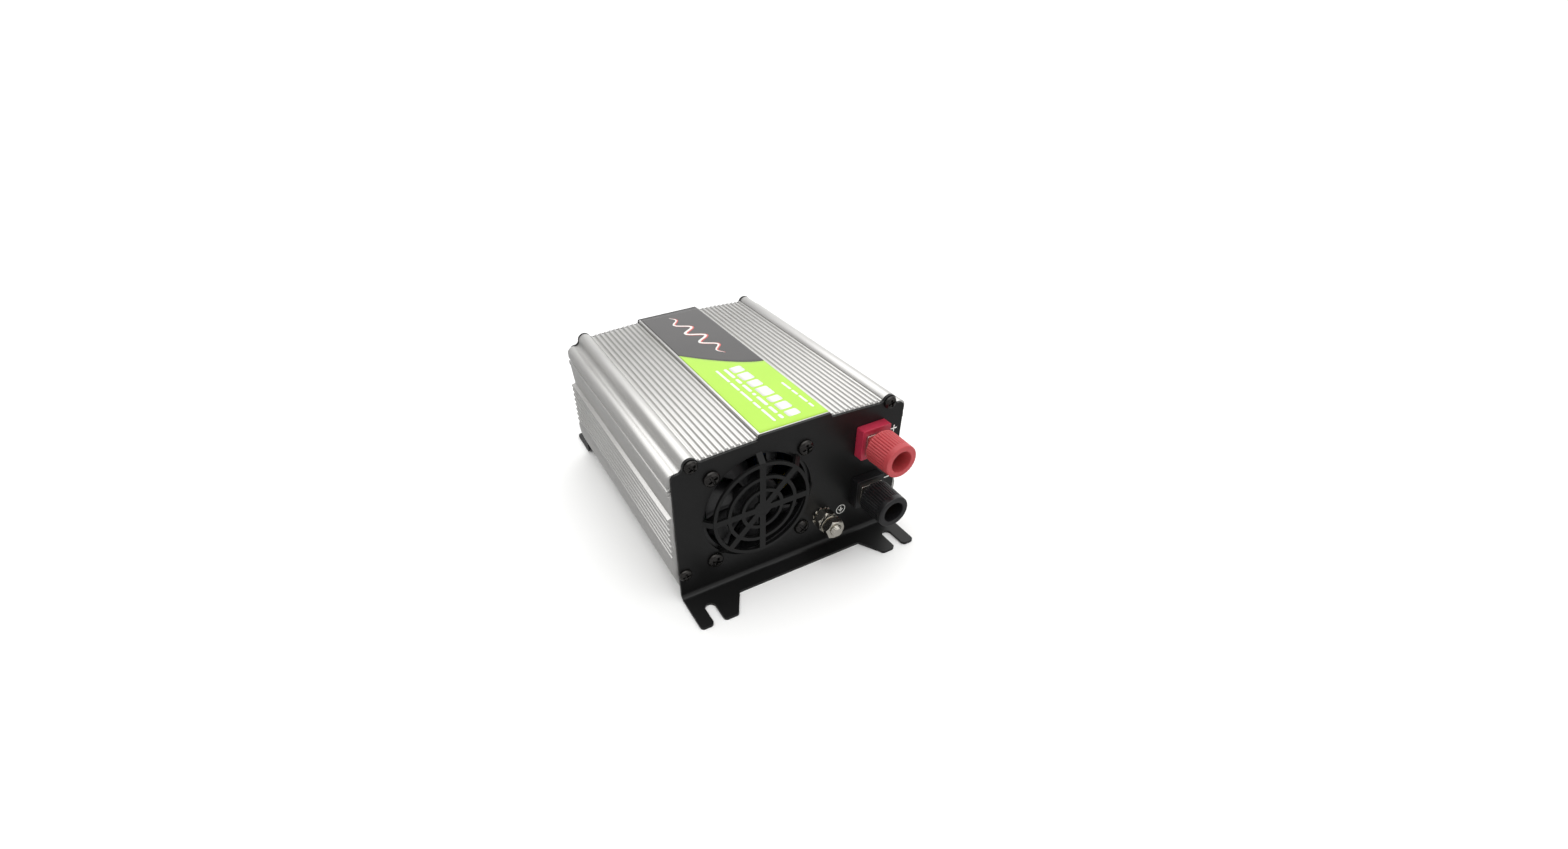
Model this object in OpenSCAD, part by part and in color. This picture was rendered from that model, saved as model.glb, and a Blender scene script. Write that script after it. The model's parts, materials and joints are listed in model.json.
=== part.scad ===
// Power inverter, 12 V DC to mains AC: ribbed aluminium case in two shells, black steel end plates
// with slotted feet, fan and cable terminals at the DC end, outlets and switch at the AC end.
// +X is right and +Y is away, seen from the DC end; +Z is up. The feet stand on z = 0.

/* [Case] */
// Width of the case over its side ribs
case_w = 134; // [118:1:190]
// Length of the extruded shells
case_len = 146; // [140:1:260]
// Height of the case, from its underside to the top of the flat band
case_h = 81.3; // [80:0.1:120]
// Gap between the case's underside and the surface that the feet stand on
case_lift = 2; // [1.5:0.1:6]
// Thickness of the floor and the top of the case
wall = 2.2; // [1.8:0.1:3]
// Thickness of the side walls, measured from the valleys between the ribs
side_wall = 3.4; // [2.6:0.1:4]
// Running gap between parts that slide together
slip = 0.15; // [0.1:0.05:0.3]

/* [Ribs] */
// Number of ribs on each side of the label band
top_ribs = 11; // [6:1:13]
// Distance between the ribs on the top
top_rib_pitch = 2.93; // [2.6:0.01:3.2]
// Height of the ribs on the top
top_rib_h = 1.1; // [0.6:0.1:1.4]
// Number of ribs low on each side
side_ribs = 7; // [4:1:7]
// Distance between the ribs on the sides
side_rib_pitch = 3.47; // [3:0.01:3.5]
// Depth of the ribs on the sides
side_rib_d = 1; // [0.6:0.1:1.2]
// Half of the width of the flat band on the top
band_half = 19.6; // [14:0.1:22]
// How far the top drops from its middle to its edges
crown = 2; // [0:0.1:3]

/* [End plates] */
// Thickness of the steel sheet
plate_t = 1.5; // [1:0.1:2]
// How far each edge of the end plate lies inside the case's side
plate_inset = 3; // [2:0.1:3.5]
// Inner radius of the bend above the feet
bend_r = 2.5; // [1.5:0.1:4]
// Reach of the flange between the feet
flange_reach = 9.7; // [8:0.1:12]
// Reach of the feet
foot_reach = 22.4; // [20:0.1:26]
// Width of the slot in a foot
slot_w = 5.5; // [4.5:0.1:6.5]
// Distance between the two slots of one end plate
slot_spacing = 108.4; // [96:0.1:110]
// Distance from the plate's face to the closed end of the slot
slot_start = 9.45; // [9:0.05:12]
// Radius of the case screws' heads
case_screw_head_r = 3.4; // [2.7:0.1:3.6]
// Radius of the case screws' shanks
case_screw_r = 1.7; // [1.3:0.05:1.8]

/* [Fan] */
// Side of the square fan frame
fan_size = 60; // [50:1:60]
// Depth of the fan frame
fan_depth = 15; // [13:1:25]
// Distance of the fan's screws from the edges of its frame
fan_screw_inset = 5; // [4.5:0.1:6]
// Distance of the fan from the middle of the end plate, to the left
fan_left = 20; // [16:0.5:24]
// Height of the fan's axis above the ground
fan_z = 44; // [42:0.5:48]
// Thinnest wall of the fan frame, between its duct and its flat sides
fan_rim = 1.7; // [1.2:0.1:3]
// Number of fan blades
fan_blades = 7; // [5:1:9]
// Radius of the fan shaft
fan_shaft_r = 1.5; // [1:0.1:2]
// How far the pressed grille stands out of the plate
grille_out = 4; // [2:0.1:6]
// Width of the grille's rings
grille_ring_w = 1.8; // [1.2:0.1:2.4]
// Width of the grille's spokes
grille_spoke_w = 3.3; // [2:0.1:4]

/* [Terminals] */
// Distance of the terminals from the middle of the end plate, to the right
post_x = 44; // [40:0.1:46]
// Height of the red terminal's axis
red_post_z = 61.6; // [56:0.1:64]
// Height of the black terminal's axis
black_post_z = 30.4; // [28:0.1:36]
// Width of a terminal's insulating block
block_w = 17; // [15:0.1:20]
// Height of a terminal's insulating block
block_h = 17.2; // [16:0.1:22]
// How far a terminal's insulating block stands out
block_t = 5.4; // [4:0.1:12]
// Radius of the terminal's threaded stud
post_r = 3; // [2.5:0.1:4]
// Length of a terminal cap
cap_len = 18.4; // [16:0.1:22]
// Radius of a terminal cap at the inner end of its grip
cap_r_in = 9.2; // [8:0.1:10]
// Radius of a terminal cap at its outer end
cap_r_out = 8.8; // [7.5:0.1:9.5]
// Length of the narrow neck of a terminal cap
cap_neck = 2.4; // [1:0.1:4]
// Radius of the hole in the end of a terminal cap
cap_hole_r = 5.7; // [5:0.1:6]

/* [Ground stud] */
// Distance of the ground stud from the middle of the end plate, to the right
ground_x = 17.8; // [16:0.1:22]
// Height of the ground stud
ground_z = 21; // [18:0.1:24]
// Radius of the ground stud
ground_r = 3; // [2.5:0.1:3.2]

/* [AC end] */
// Width of an outlet's face
outlet_w = 33; // [30:0.5:34]
// Height of an outlet's face
outlet_h = 38; // [36:0.5:44]
// Distance from the first outlet to the second
outlet_pitch = 37; // [35:0.5:40]
// Height of the outlets' middle
outlet_z = 46; // [42:0.5:50]
// Width of the switch's bezel
switch_w = 15; // [14:0.1:18]
// Height of the switch's bezel
switch_h = 21; // [20:0.1:24]
// Distance of the switch from the middle of the end plate
switch_x = 42; // [38:0.5:44]
// Height of the switch
switch_z = 56; // [50:0.5:60]
// Angle of the rocker on each side of its middle
rocker_tilt = 12; // [8:1:14]
// Radius of the rocker's pivot pins
rocker_pin_r = 1.2; // [1:0.05:1.4]
// Radius of the indicator lamps
lamp_r = 1.5; // [1.2:0.1:2.5]

/* [Circuit board] */
// Distance of the circuit board's edges from the heat-spreading bars
board_edge_gap = 1.6; // [1:0.1:2]
// Length of the circuit board
board_len = 108; // [104:1:112]
// Height of the circuit board's underside above the floor of the case
board_lift = 7.8; // [6:0.1:8]
// Thickness of the circuit board
board_t = 1.6; // [1.2:0.1:2]

/* [Hidden] */
$fn = 48;
gap = 0.1;                                  // gap around a fastener in its hole

// Heights
case_z = case_lift;                         // underside of the case
top_z = case_z + case_h;                    // top of the flat band
floor_z = case_z + wall;                    // inside floor
seam_z = top_z - 15.9;                      // where the two shells meet
valley_z = top_z - 2;                       // valleys between the top ribs, at the middle
case_half = case_w / 2;
plate_half = case_half - plate_inset;
fan_pitch = fan_size - 2 * fan_screw_inset;
fan_duct_r = fan_size / 2 - fan_rim;
fan_head_r = 4.2;                           // radius of the fan screws' heads
fan_open_r = fan_pitch * sqrt(0.5) - fan_head_r - 1.15;  // round opening in the plate, inside the screws

// Lengths: the origin lies midway between the caps' ends and the tips of the feet at the AC end
clamp_t = 1.2;                              // thickness of a terminal's clamp plate
front_reach = max(block_t + clamp_t + cap_len, foot_reach);
overall_len = front_reach + 2 * plate_t + case_len + foot_reach;
front_y = front_reach - overall_len / 2;    // outer face of the front plate
rear_y = front_y + 2 * plate_t + case_len;  // outer face of the rear plate
case_y = front_y + plate_t;                 // front end of the shells

// Screw channels, seen on the right half
ear_x = case_half - 12.7;
ear_z = top_z - 4.4;
ear = [ear_x, ear_z];
ear_r = 3.8;
low_screw_x = case_half - 5.9;
low_screw_z = 16.4;
low_boss_r = 3.6;

// Shoulder bead, lower curve and ribs
bead_r = 3.6;
bead_x = case_half - 1.2 - bead_r;
bead_z = top_z - 10.2;
bead = [bead_x, bead_z];
cove_r = 2.5;                               // hollow between the bead and the ear
inner_x = case_half - side_rib_d - side_wall;
curve_r = 40;                               // large radius of the case's lower side
curve_z = 24;                               // height at which the lower curve begins
corner_r = 3.9;                             // corner under the lower curve
rib_z0 = 28.2;                              // height of the lowest side rib
rib_top = rib_z0 + (side_ribs - 1) * side_rib_pitch;
ledge_z = rib_top + 3.4;

// Board, between the heat-spreading bars on the side walls
bar_t = 5;
pad_x = inner_x - bar_t;                    // the transistors' tabs lie against this face
board_w = 2 * (pad_x - board_edge_gap);
board_z = floor_z + board_lift;
board_top = board_z + board_t;
board_y = case_y + fan_depth + 9;
board_hole = [board_w / 2 - 9, board_len / 2 - 6];

// ---------- helpers ----------
function arc(cx, cy, r, a0, a1, n = 8) =
  [for (i = [0:n]) let (a = a0 + (a1 - a0) * i / n) [cx + r * cos(a), cy + r * sin(a)]];
// Centre of a circle that touches two others from outside, on the right of the way from p to q
function touching(p, p_r, q, q_r, r) = let (d = norm(q - p), a = p_r + r, b = q_r + r,
  along = (a * a - b * b + d * d) / (2 * d), u = (q - p) / d)
  p + along * u + sqrt(a * a - along * along) * [u[1], -u[0]];
function bearing(p, q) = (atan2(q[1] - p[1], q[0] - p[0]) + 360) % 360;
// A bead, a hollow and an ear, blended into one curve
function shoulder(p, p_r, q, q_r, r, first, last) = let (c = touching(p, p_r, q, q_r, r))
  concat(arc(p[0], p[1], p_r, first, bearing(p, c), 8),
    arc(c[0], c[1], r, bearing(c, p), bearing(c, q), 6),
    arc(q[0], q[1], q_r, bearing(q, c), last, 12));
function flip_order(p) = [for (i = [len(p) - 1:-1:0]) p[i]];
function flip(p) = [for (i = [len(p) - 1:-1:0]) [-p[i][0], p[i][1]]];
function both(p) = concat(p, flip(p));
function top_at(x) = valley_z - crown * pow(x / ear_x, 2);

// An outline in X and Z, extruded along Y from y
module along_y(y, length) translate([0, y + length, 0]) rotate([90, 0, 0])
  linear_extrude(length) children();
// A round bar along Y from y
module bar_y(x, z, y, length, r) translate([x, y, z]) rotate([-90, 0, 0]) cylinder(h = length, r = r);
// A hexagonal nut along Y from y, across flats af, with a bore
module nut_y(x, z, y, length, af, bore) translate([x, y, z]) rotate([-90, 0, 0]) difference() {
  cylinder(h = length, r = af / sqrt(3), $fn = 6);
  translate([0, 0, -1]) cylinder(h = length + 2, r = bore);
}
// A rectangle with round corners, centred
function round_box(w, h, r) = concat(
  arc(w / 2 - r, h / 2 - r, r, 0, 90, 6), arc(r - w / 2, h / 2 - r, r, 90, 180, 6),
  arc(r - w / 2, r - h / 2, r, 180, 270, 6), arc(w / 2 - r, r - h / 2, r, 270, 360, 6));
// A pan-head screw with a cross recess; its head's seat is at y = 0 and it points along +Y
module pan_screw(head_r, head_h, shank_r, length) {
  bar_y(0, 0, 0, length, shank_r);
  rotate([90, 0, 0]) difference() {
    rotate_extrude() polygon(concat([[0, 0], [head_r, 0]],
      [for (a = [10:16:90]) [head_r * cos(a) * 0.98 * (1 - 0.12 * sin(a)), head_h * (0.25 + 0.75 * sin(a))]],
      [[0, head_h]]));
    translate([0, 0, head_h * 0.45]) linear_extrude(head_h)
      polygon(let (a = head_r * 0.13, b = head_r * 0.56)
        [[a, a], [b, a], [b, -a], [a, -a], [a, -b], [-a, -b], [-a, -a], [-b, -a],
         [-b, a], [-a, a], [-a, b], [a, b]]);
  }
}
// A wire along a cubic curve through four control points
wire_steps = 12;
wire_sides = 8;
function bez(p, t) = pow(1 - t, 3) * p[0] + 3 * t * pow(1 - t, 2) * p[1]
  + 3 * t * t * (1 - t) * p[2] + pow(t, 3) * p[3];
function slope(p, t) = pow(1 - t, 2) * (p[1] - p[0]) + 2 * t * (1 - t) * (p[2] - p[1])
  + t * t * (p[3] - p[2]);
function unit(v) = v / norm(v);
function ring(p, t, r, side) = let (d = unit(slope(p, t)), n = unit(cross(d, side)), b = cross(d, n))
  [for (k = [0:wire_sides - 1]) let (a = 360 * k / wire_sides) bez(p, t) + r * (cos(a) * n + sin(a) * b)];
module wire(p, r, side) polyhedron(
  points = [for (i = [0:wire_steps]) each ring(p, i / wire_steps, r, side)],
  faces = concat([[for (k = [0:wire_sides - 1]) k]],
    [for (i = [0:wire_steps - 1], k = [0:wire_sides - 1]) let (a = i * wire_sides, m = (k + 1) % wire_sides)
      [a + k, a + wire_sides + k, a + wire_sides + m, a + m]],
    [[for (k = [wire_sides - 1:-1:0]) wire_steps * wire_sides + k]]));

// ---------- case ----------
function side_rib(z) = [for (q = [[1, -1.15], [0.25, -0.8], [0, -0.4], [0, 0.4], [0.25, 0.8], [1, 1.15]])
  [case_half - q[0] * side_rib_d, z + q[1]]];
function top_rib(x) = [for (q = [[0.95, 0], [0.75, 0.75], [0.4, 1], [-0.4, 1], [-0.75, 0.75], [-0.95, 0]])
  [x + q[0], top_at(x) + q[1] * top_rib_h]];
corner_x = case_half - 4.4 - corner_r;
lower_side = concat(
  arc(corner_x, case_z + corner_r, corner_r, -90, -10, 6),
  arc(case_half - curve_r, curve_z, curve_r, -24, 0, 6),
  [for (i = [0:side_ribs - 1]) each side_rib(rib_z0 + i * side_rib_pitch)],
  [[case_half - side_rib_d, ledge_z - 1.6], [case_half, ledge_z - 1.4], [case_half, ledge_z],
   [case_half - 2.4, ledge_z + 0.6], [case_half - 1.5, seam_z - 2.5], [case_half - 2.4, seam_z - 2.2],
   [case_half - 2.4, seam_z - 1.5], [case_half - 1, seam_z - 1.2], [case_half - 1, seam_z]]);
upper_side = concat(
  [[case_half - 1, seam_z + gap], [case_half - 1, seam_z + 1.2], [case_half - 2.4, seam_z + 1.5],
   [case_half - 2.4, seam_z + 2.2], [bead_x + bead_r, seam_z + 2.7]],
  shoulder(bead, bead_r, ear, ear_r, cove_r, 0, 150));
module bottom_shell() color("#c9c8c2") difference() {
  union() {
    along_y(case_y, case_len) polygon(both(concat(lower_side, [
      [inner_x, seam_z], [inner_x, curve_z + 2], [inner_x - 1.8, 10 + case_z], [inner_x - 7.6, floor_z]])));
    for (s = [-1, 1]) along_y(case_y, case_len) intersection() {
      translate([s * low_screw_x, low_screw_z]) circle(low_boss_r);
      polygon(both(lower_side));
    }
  }
  for (s = [-1, 1]) bar_y(s * low_screw_x, low_screw_z, case_y - 1, case_len + 2, case_screw_r + gap / 2);
}
lip_t = 1.3;
lip_x = inner_x - slip;
rib_start = band_half + 1.3;                // middle of the first rib beside the band
last_rib = top_rib(rib_start + (top_ribs - 1) * top_rib_pitch);
top_outside = concat(upper_side,
  [for (i = [3:5]) last_rib[i]],
  [for (i = [top_ribs - 2:-1:0]) each top_rib(rib_start + i * top_rib_pitch)],
  [[band_half, top_at(band_half)], [band_half, top_z - 0.3], [band_half - 0.3, top_z]]);
top_inside = [[lip_x, seam_z + gap], [lip_x, seam_z - 4], [lip_x - lip_t, seam_z - 4],
  [lip_x - lip_t, seam_z + 3.5], [bead_x - 2.5, bead_z - 1.5], [ear_x + 3.5, ear_z - 6],
  [ear_x - 4.5, ear_z - 5.6], [ear_x - 7.5, top_at(ear_x) - wall], [band_half, valley_z - wall]];
module top_shell() color("#cfcec9") difference() {
  along_y(case_y, case_len) polygon(concat(both(top_outside), flip_order(both(top_inside))));
  for (s = [-1, 1]) bar_y(s * ear_x, ear_z, case_y - 1, case_len + 2, case_screw_r + gap / 2);
}
label_t = 0.25;
module label() color("#a8d84e") translate([0.4, case_y + case_len / 2, top_z])
  linear_extrude(label_t) polygon(round_box(2 * band_half - 1.8, case_len - 1, 1));

// ---------- end plates ----------
bend_out = bend_r + plate_t;
foot_tip_r = 2;
slot_x = slot_spacing / 2;
foot_inner = slot_x - 11.2;
plate_outline = concat(
  [[plate_half, bend_out], [plate_half, bead_z + 0.5]],
  shoulder([plate_half - 3.2, bead_z + 0.5], 3.2, ear, ear_r + 0.1, cove_r, 20, 160),
  [for (x = [ear_x - 5:-5:band_half + 1]) [x, top_at(x) - 0.2]],
  [[band_half + 0.4, top_at(band_half) - 0.2], [band_half - 0.1, top_z - 0.3],
   [band_half - 0.6, top_z - 0.1]]);
// One foot with its slot's straight part; the slot's round end is bored
foot_outline = concat([[plate_half, -bend_r], [plate_half, -foot_reach + foot_tip_r]],
  arc(plate_half - foot_tip_r, foot_tip_r - foot_reach, foot_tip_r, 0, -90, 5),
  arc(slot_x + slot_w / 2 + foot_tip_r, foot_tip_r - foot_reach, foot_tip_r, -90, -180, 5),
  [[slot_x + slot_w / 2, -slot_start - slot_w / 2], [slot_x - slot_w / 2, -slot_start - slot_w / 2]],
  arc(slot_x - slot_w / 2 - foot_tip_r, foot_tip_r - foot_reach, foot_tip_r, 0, -90, 5),
  arc(foot_inner + foot_tip_r, foot_tip_r - foot_reach, foot_tip_r, -90, -165, 5),
  [[foot_inner - 6.5, -flange_reach]]);
// The sheet as bent, facing -Y, with its outer face at y = 0
module bent_sheet() {
  along_y(0, plate_t) polygon(both(plate_outline));
  translate([-plate_half, 0, 0]) rotate([90, 0, 90]) linear_extrude(2 * plate_half) intersection() {
    translate([plate_t - bend_out, bend_out]) difference() {
      circle(bend_out);
      circle(bend_r);
    }
    translate([-bend_r, 0]) square([bend_out, bend_out]);
  }
  difference() {
    linear_extrude(plate_t) polygon(both(foot_outline));
    for (s = [-1, 1]) translate([s * slot_x, -slot_start - slot_w / 2, -1])
      cylinder(h = plate_t + 2, r = slot_w / 2);
  }
}
module case_screw_holes() for (s = [-1, 1]) {
  bar_y(s * ear_x, ear_z, -1, plate_t + 2, case_screw_r + 0.2);
  bar_y(s * low_screw_x, low_screw_z, -1, plate_t + 2, case_screw_r + 0.2);
}
fan_screw_r = 1.95;
grille_radii = [fan_open_r - 3.5, fan_open_r - 11, fan_open_r - 18.4];
module grille() translate([-fan_left, 0, fan_z]) {
  along_y(-grille_out, plate_t) {
    for (r = grille_radii) difference() {
      circle(r, $fn = 96);
      circle(r - grille_ring_w, $fn = 96);
    }
    circle(4.6);
    for (a = [0, 45, 90]) rotate(a)
      square([2 * grille_radii[0] - grille_ring_w, grille_spoke_w], center = true);
  }
  for (a = [0, 45, 90, 180, 225, 270]) rotate([0, -a, 0]) translate([0, 0, -grille_spoke_w / 2])
    linear_extrude(grille_spoke_w) polygon([
      [grille_radii[0] - grille_ring_w, -grille_out], [grille_radii[0] - 0.3, -grille_out],
      [fan_open_r + 0.6, 0], [fan_open_r + 1, 0], [fan_open_r + 1, plate_t], [fan_open_r, plate_t],
      [grille_radii[0] - 0.9, plate_t - grille_out],
      [grille_radii[0] - grille_ring_w, plate_t - grille_out]]);
}
insulator_r = 5.2;
module front_plate() color("#2b2a2b") translate([0, front_y, 0]) {
  difference() {
    bent_sheet();
    case_screw_holes();
    bar_y(-fan_left, fan_z, -1, plate_t + 2, fan_open_r);
    for (i = [-1, 1], j = [-1, 1])
      bar_y(-fan_left + i * fan_pitch / 2, fan_z + j * fan_pitch / 2, -1, plate_t + 2, fan_screw_r + 0.25);
    for (z = [red_post_z, black_post_z]) bar_y(post_x, z, -1, plate_t + 2, insulator_r + gap);
    bar_y(ground_x, ground_z, -1, plate_t + 2, ground_r + gap);
  }
  grille();
}
// The AC end faces +Y; its own left and right are seen from outside
module at_rear() translate([0, rear_y, 0]) rotate([0, 0, 180]) children();
outlet_x = [-outlet_pitch - 1, -1];
outlet_body = [outlet_w - 4, outlet_h - 4];
switch_body = [switch_w - 2.2, switch_h - 1.8];
lamp_x = switch_x;
lamp_z = [36, 27];
module rear_plate() color("#2b2a2b") at_rear() difference() {
  bent_sheet();
  case_screw_holes();
  for (x = outlet_x) translate([x, 0, outlet_z])
    along_y(-1, plate_t + 2) polygon(round_box(outlet_body[0] + 2 * gap, outlet_body[1] + 2 * gap, 2));
  translate([switch_x, 0, switch_z])
    along_y(-1, plate_t + 2) square([switch_body[0] + 2 * gap, switch_body[1] + 2 * gap], center = true);
  for (z = lamp_z) bar_y(lamp_x, z, -1, plate_t + 2, lamp_r + gap);
}
module case_screw_set() for (s = [-1, 1], p = [[ear_x, ear_z], [low_screw_x, low_screw_z]])
  translate([s * p[0], 0, p[1]]) pan_screw(case_screw_head_r, 2.2, case_screw_r, 12);
module front_case_screws() color("#3a393a") translate([0, front_y, 0]) case_screw_set();
module rear_case_screws() color("#3a393a") at_rear() case_screw_set();

// ---------- fan ----------
fan_strut_t = 2.5;
fan_hub_r = 13;
bush_r = 3.2;
module at_fan() translate([-fan_left, case_y, fan_z]) children();
module fan_frame() color("#232323") at_fan() {
  difference() {
    along_y(0, fan_depth) polygon(round_box(fan_size, fan_size, 4));
    bar_y(0, 0, -1, fan_depth + 2, fan_duct_r);
    for (i = [-1, 1], j = [-1, 1])
      bar_y(i * fan_pitch / 2, j * fan_pitch / 2, -1, fan_depth + 2, fan_screw_r + 0.3);
  }
  along_y(fan_depth - fan_strut_t, fan_strut_t) for (a = [45:90:315]) rotate(a)
    translate([fan_hub_r - 1, -1.6]) square([fan_duct_r - fan_hub_r + 1.8, 3.2]);
  difference() {
    union() {
      bar_y(0, 0, fan_depth - fan_strut_t, fan_strut_t, fan_hub_r);
      bar_y(0, 0, 4.2, fan_depth - 4.2 - gap, bush_r);
    }
    bar_y(0, 0, 4, fan_depth - 5, fan_shaft_r + 0.05);
  }
}
module fan_stator() color("#8a4a2c") at_fan() difference() {
  bar_y(0, 0, 4.6, fan_depth - 4.6 - fan_strut_t, 9.6);
  bar_y(0, 0, 4, fan_depth, bush_r);
}
rotor_len = fan_depth - fan_strut_t - 2.5;
module fan_rotor() color("#2e2e2e") at_fan() {
  difference() {
    bar_y(0, 0, 1.5, rotor_len, fan_hub_r);
    bar_y(0, 0, 3, rotor_len, fan_hub_r - 1.6);
  }
  bar_y(0, 0, 2.5, fan_depth - 4.5, fan_shaft_r);
  for (k = [0:fan_blades - 1]) intersection() {
    difference() {
      bar_y(0, 0, 1.7, rotor_len - 0.4, fan_duct_r - 0.9);
      bar_y(0, 0, 0, fan_depth, fan_hub_r - 0.4);
    }
    rotate([0, 360 * k / fan_blades, 0]) translate([fan_hub_r - 1, 1.5 + rotor_len / 2, 0]) rotate([42, 0, 0])
      translate([0, -0.6, -12]) cube([fan_duct_r, 1.2, 24]);
  }
}
module fan_places() for (i = [-1, 1], j = [-1, 1])
  translate([-fan_left + i * fan_pitch / 2, front_y, fan_z + j * fan_pitch / 2]) children();
fan_nut_t = 3.2;
module fan_screws() color("#2f2e2f") fan_places()
  pan_screw(fan_head_r, 2.6, fan_screw_r, plate_t + fan_depth + fan_nut_t + 1);
module fan_nuts() color("#b9b7b0") fan_places() nut_y(0, 0, plate_t + fan_depth, fan_nut_t, 7, fan_screw_r);

// ---------- cable terminals ----------
post_tip = block_t + clamp_t + 10.5;   // how far a stud reaches out of the plate
insert_len = 6;
insert_r = 5;
web_t = 1.5;                                // floor of the cap, under its brass insert
neck_r = insert_r + 1.2;                    // the cap's neck holds the end of its insert
module at_post(z) translate([post_x, front_y, z]) children();
module terminal_block() difference() {
  union() {
    along_y(-block_t, block_t) polygon(round_box(block_w, block_h, 0.8));
    bar_y(0, 0, 0, plate_t, insulator_r);
  }
  bar_y(0, 0, -block_t - 1, block_t + plate_t + 2, post_r + gap);
}
module red_terminal_block() color("#b22f45") at_post(red_post_z) terminal_block();
module black_terminal_block() color("#1e1e20") at_post(black_post_z) terminal_block();
stud_inside = 16;
module terminal_stud() bar_y(0, 0, -post_tip, post_tip + plate_t + stud_inside, post_r);
module red_terminal_stud() color("#c9b37a") at_post(red_post_z) terminal_stud();
module black_terminal_stud() color("#c9b37a") at_post(black_post_z) terminal_stud();
clamp_size = [13, 11.6];
module clamp_plate() difference() {
  along_y(-block_t - clamp_t, clamp_t) polygon(round_box(clamp_size[0], clamp_size[1], 0.8));
  bar_y(0, 0, -block_t - clamp_t - 1, clamp_t + 2, post_r + gap);
}
module red_clamp_plate() color("#d8d6d0") at_post(red_post_z) clamp_plate();
module black_clamp_plate() color("#d8d6d0") at_post(black_post_z) clamp_plate();
// The cap is a turned shape about the stud, with a wide hole outside and a pocket for its insert
module cap() translate([0, -block_t - clamp_t, 0]) rotate([90, 0, 0]) difference() {
  rotate_extrude($fn = 72) polygon([[0, 0], [neck_r, 0], [neck_r, cap_neck], [cap_r_in - 0.4, cap_neck],
    [cap_r_in, cap_neck + 0.4], [cap_r_out, cap_len - 0.8], [cap_r_out - 0.6, cap_len], [0, cap_len]]);
  translate([0, 0, -1]) cylinder(h = cap_len, r = post_r + 0.3);
  translate([0, 0, web_t]) cylinder(h = cap_len, r = insert_r);
  translate([0, 0, web_t + insert_len]) cylinder(h = cap_len, r = cap_hole_r);
}
module red_cap() color("#c94f56") at_post(red_post_z) cap();
module black_cap() color("#232325") at_post(black_post_z) cap();
module cap_insert() translate([0, -block_t - clamp_t - web_t, 0]) rotate([90, 0, 0]) difference() {
  cylinder(h = insert_len, r = insert_r);
  translate([0, 0, -1]) cylinder(h = insert_len + 2, r = post_r + 0.05);
}
module red_cap_insert() color("#c9b37a") at_post(red_post_z) cap_insert();
module black_cap_insert() color("#c9b37a") at_post(black_post_z) cap_insert();
inner_washer_t = 2;
terminal_nut_t = 5;
lug_t = 1.2;
module terminal_insulators() color("#e6e2d6") for (z = [red_post_z, black_post_z]) at_post(z) difference() {
  bar_y(0, 0, plate_t, inner_washer_t, 8.5);
  bar_y(0, 0, 0, plate_t + inner_washer_t + 1, post_r + gap);
}
module terminal_nuts() color("#c9b37a") for (z = [red_post_z, black_post_z]) at_post(z)
  nut_y(0, 0, plate_t + inner_washer_t + lug_t, terminal_nut_t, 10, post_r);

// ---------- ground stud ----------
star_t = 1.0;
ground_nut_t = 5;
ground_af = 10;
loose_t = 2.3;                              // loose star washer with the flat washer on it
ground_tip = 2 * star_t + 2 * ground_nut_t + loose_t + 1.2;
star_teeth = 10;
washer_r = ground_r + 2.7;                  // radius of the washers on the stud
module at_ground() translate([ground_x, front_y, ground_z]) children();
// A lock washer with teeth all round, along Y from y
module star_washer(y, t) difference() {
  along_y(y, t) polygon([for (k = [0:4 * star_teeth - 1])
    let (r = (floor(k / 2) % 2 == 0) ? washer_r : washer_r - 1, a = 90 * k / star_teeth)
    [r * cos(a), r * sin(a)]]);
  bar_y(0, 0, y - 1, t + 2, ground_r + gap / 2);
}
module ground_stud() color("#cfc9b6") at_ground() {
  bar_y(0, 0, 0.5 - ground_tip, ground_tip + plate_t + 9.5, ground_r);
  translate([0, 0.5 - ground_tip, 0]) rotate([90, 0, 0])
    cylinder(h = 0.5, r1 = ground_r, r2 = ground_r - 0.5);
}
module ground_star_washer() color("#d2cdbd") at_ground() star_washer(-star_t, star_t);
module ground_fixed_nut() color("#cfc9b6") at_ground()
  nut_y(0, 0, -star_t - ground_nut_t, ground_nut_t, ground_af, ground_r);
loose_y = -star_t - ground_nut_t;
module ground_loose_washers() color("#d2cdbd") at_ground() {
  star_washer(loose_y - 1.3, 1.3);
  difference() {
    bar_y(0, 0, loose_y - loose_t, loose_t - 1.3, washer_r - 0.2);
    bar_y(0, 0, loose_y - loose_t - 1, loose_t + 2, ground_r + gap / 2);
  }
}
module ground_nut() color("#d8d2c0") at_ground()
  nut_y(0, 0, loose_y - loose_t - ground_nut_t, ground_nut_t, ground_af, ground_r + 0.05);
module ground_inner_nut() color("#cfc9b6") at_ground()
  nut_y(0, 0, plate_t + lug_t, 4, ground_af, ground_r);

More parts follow.
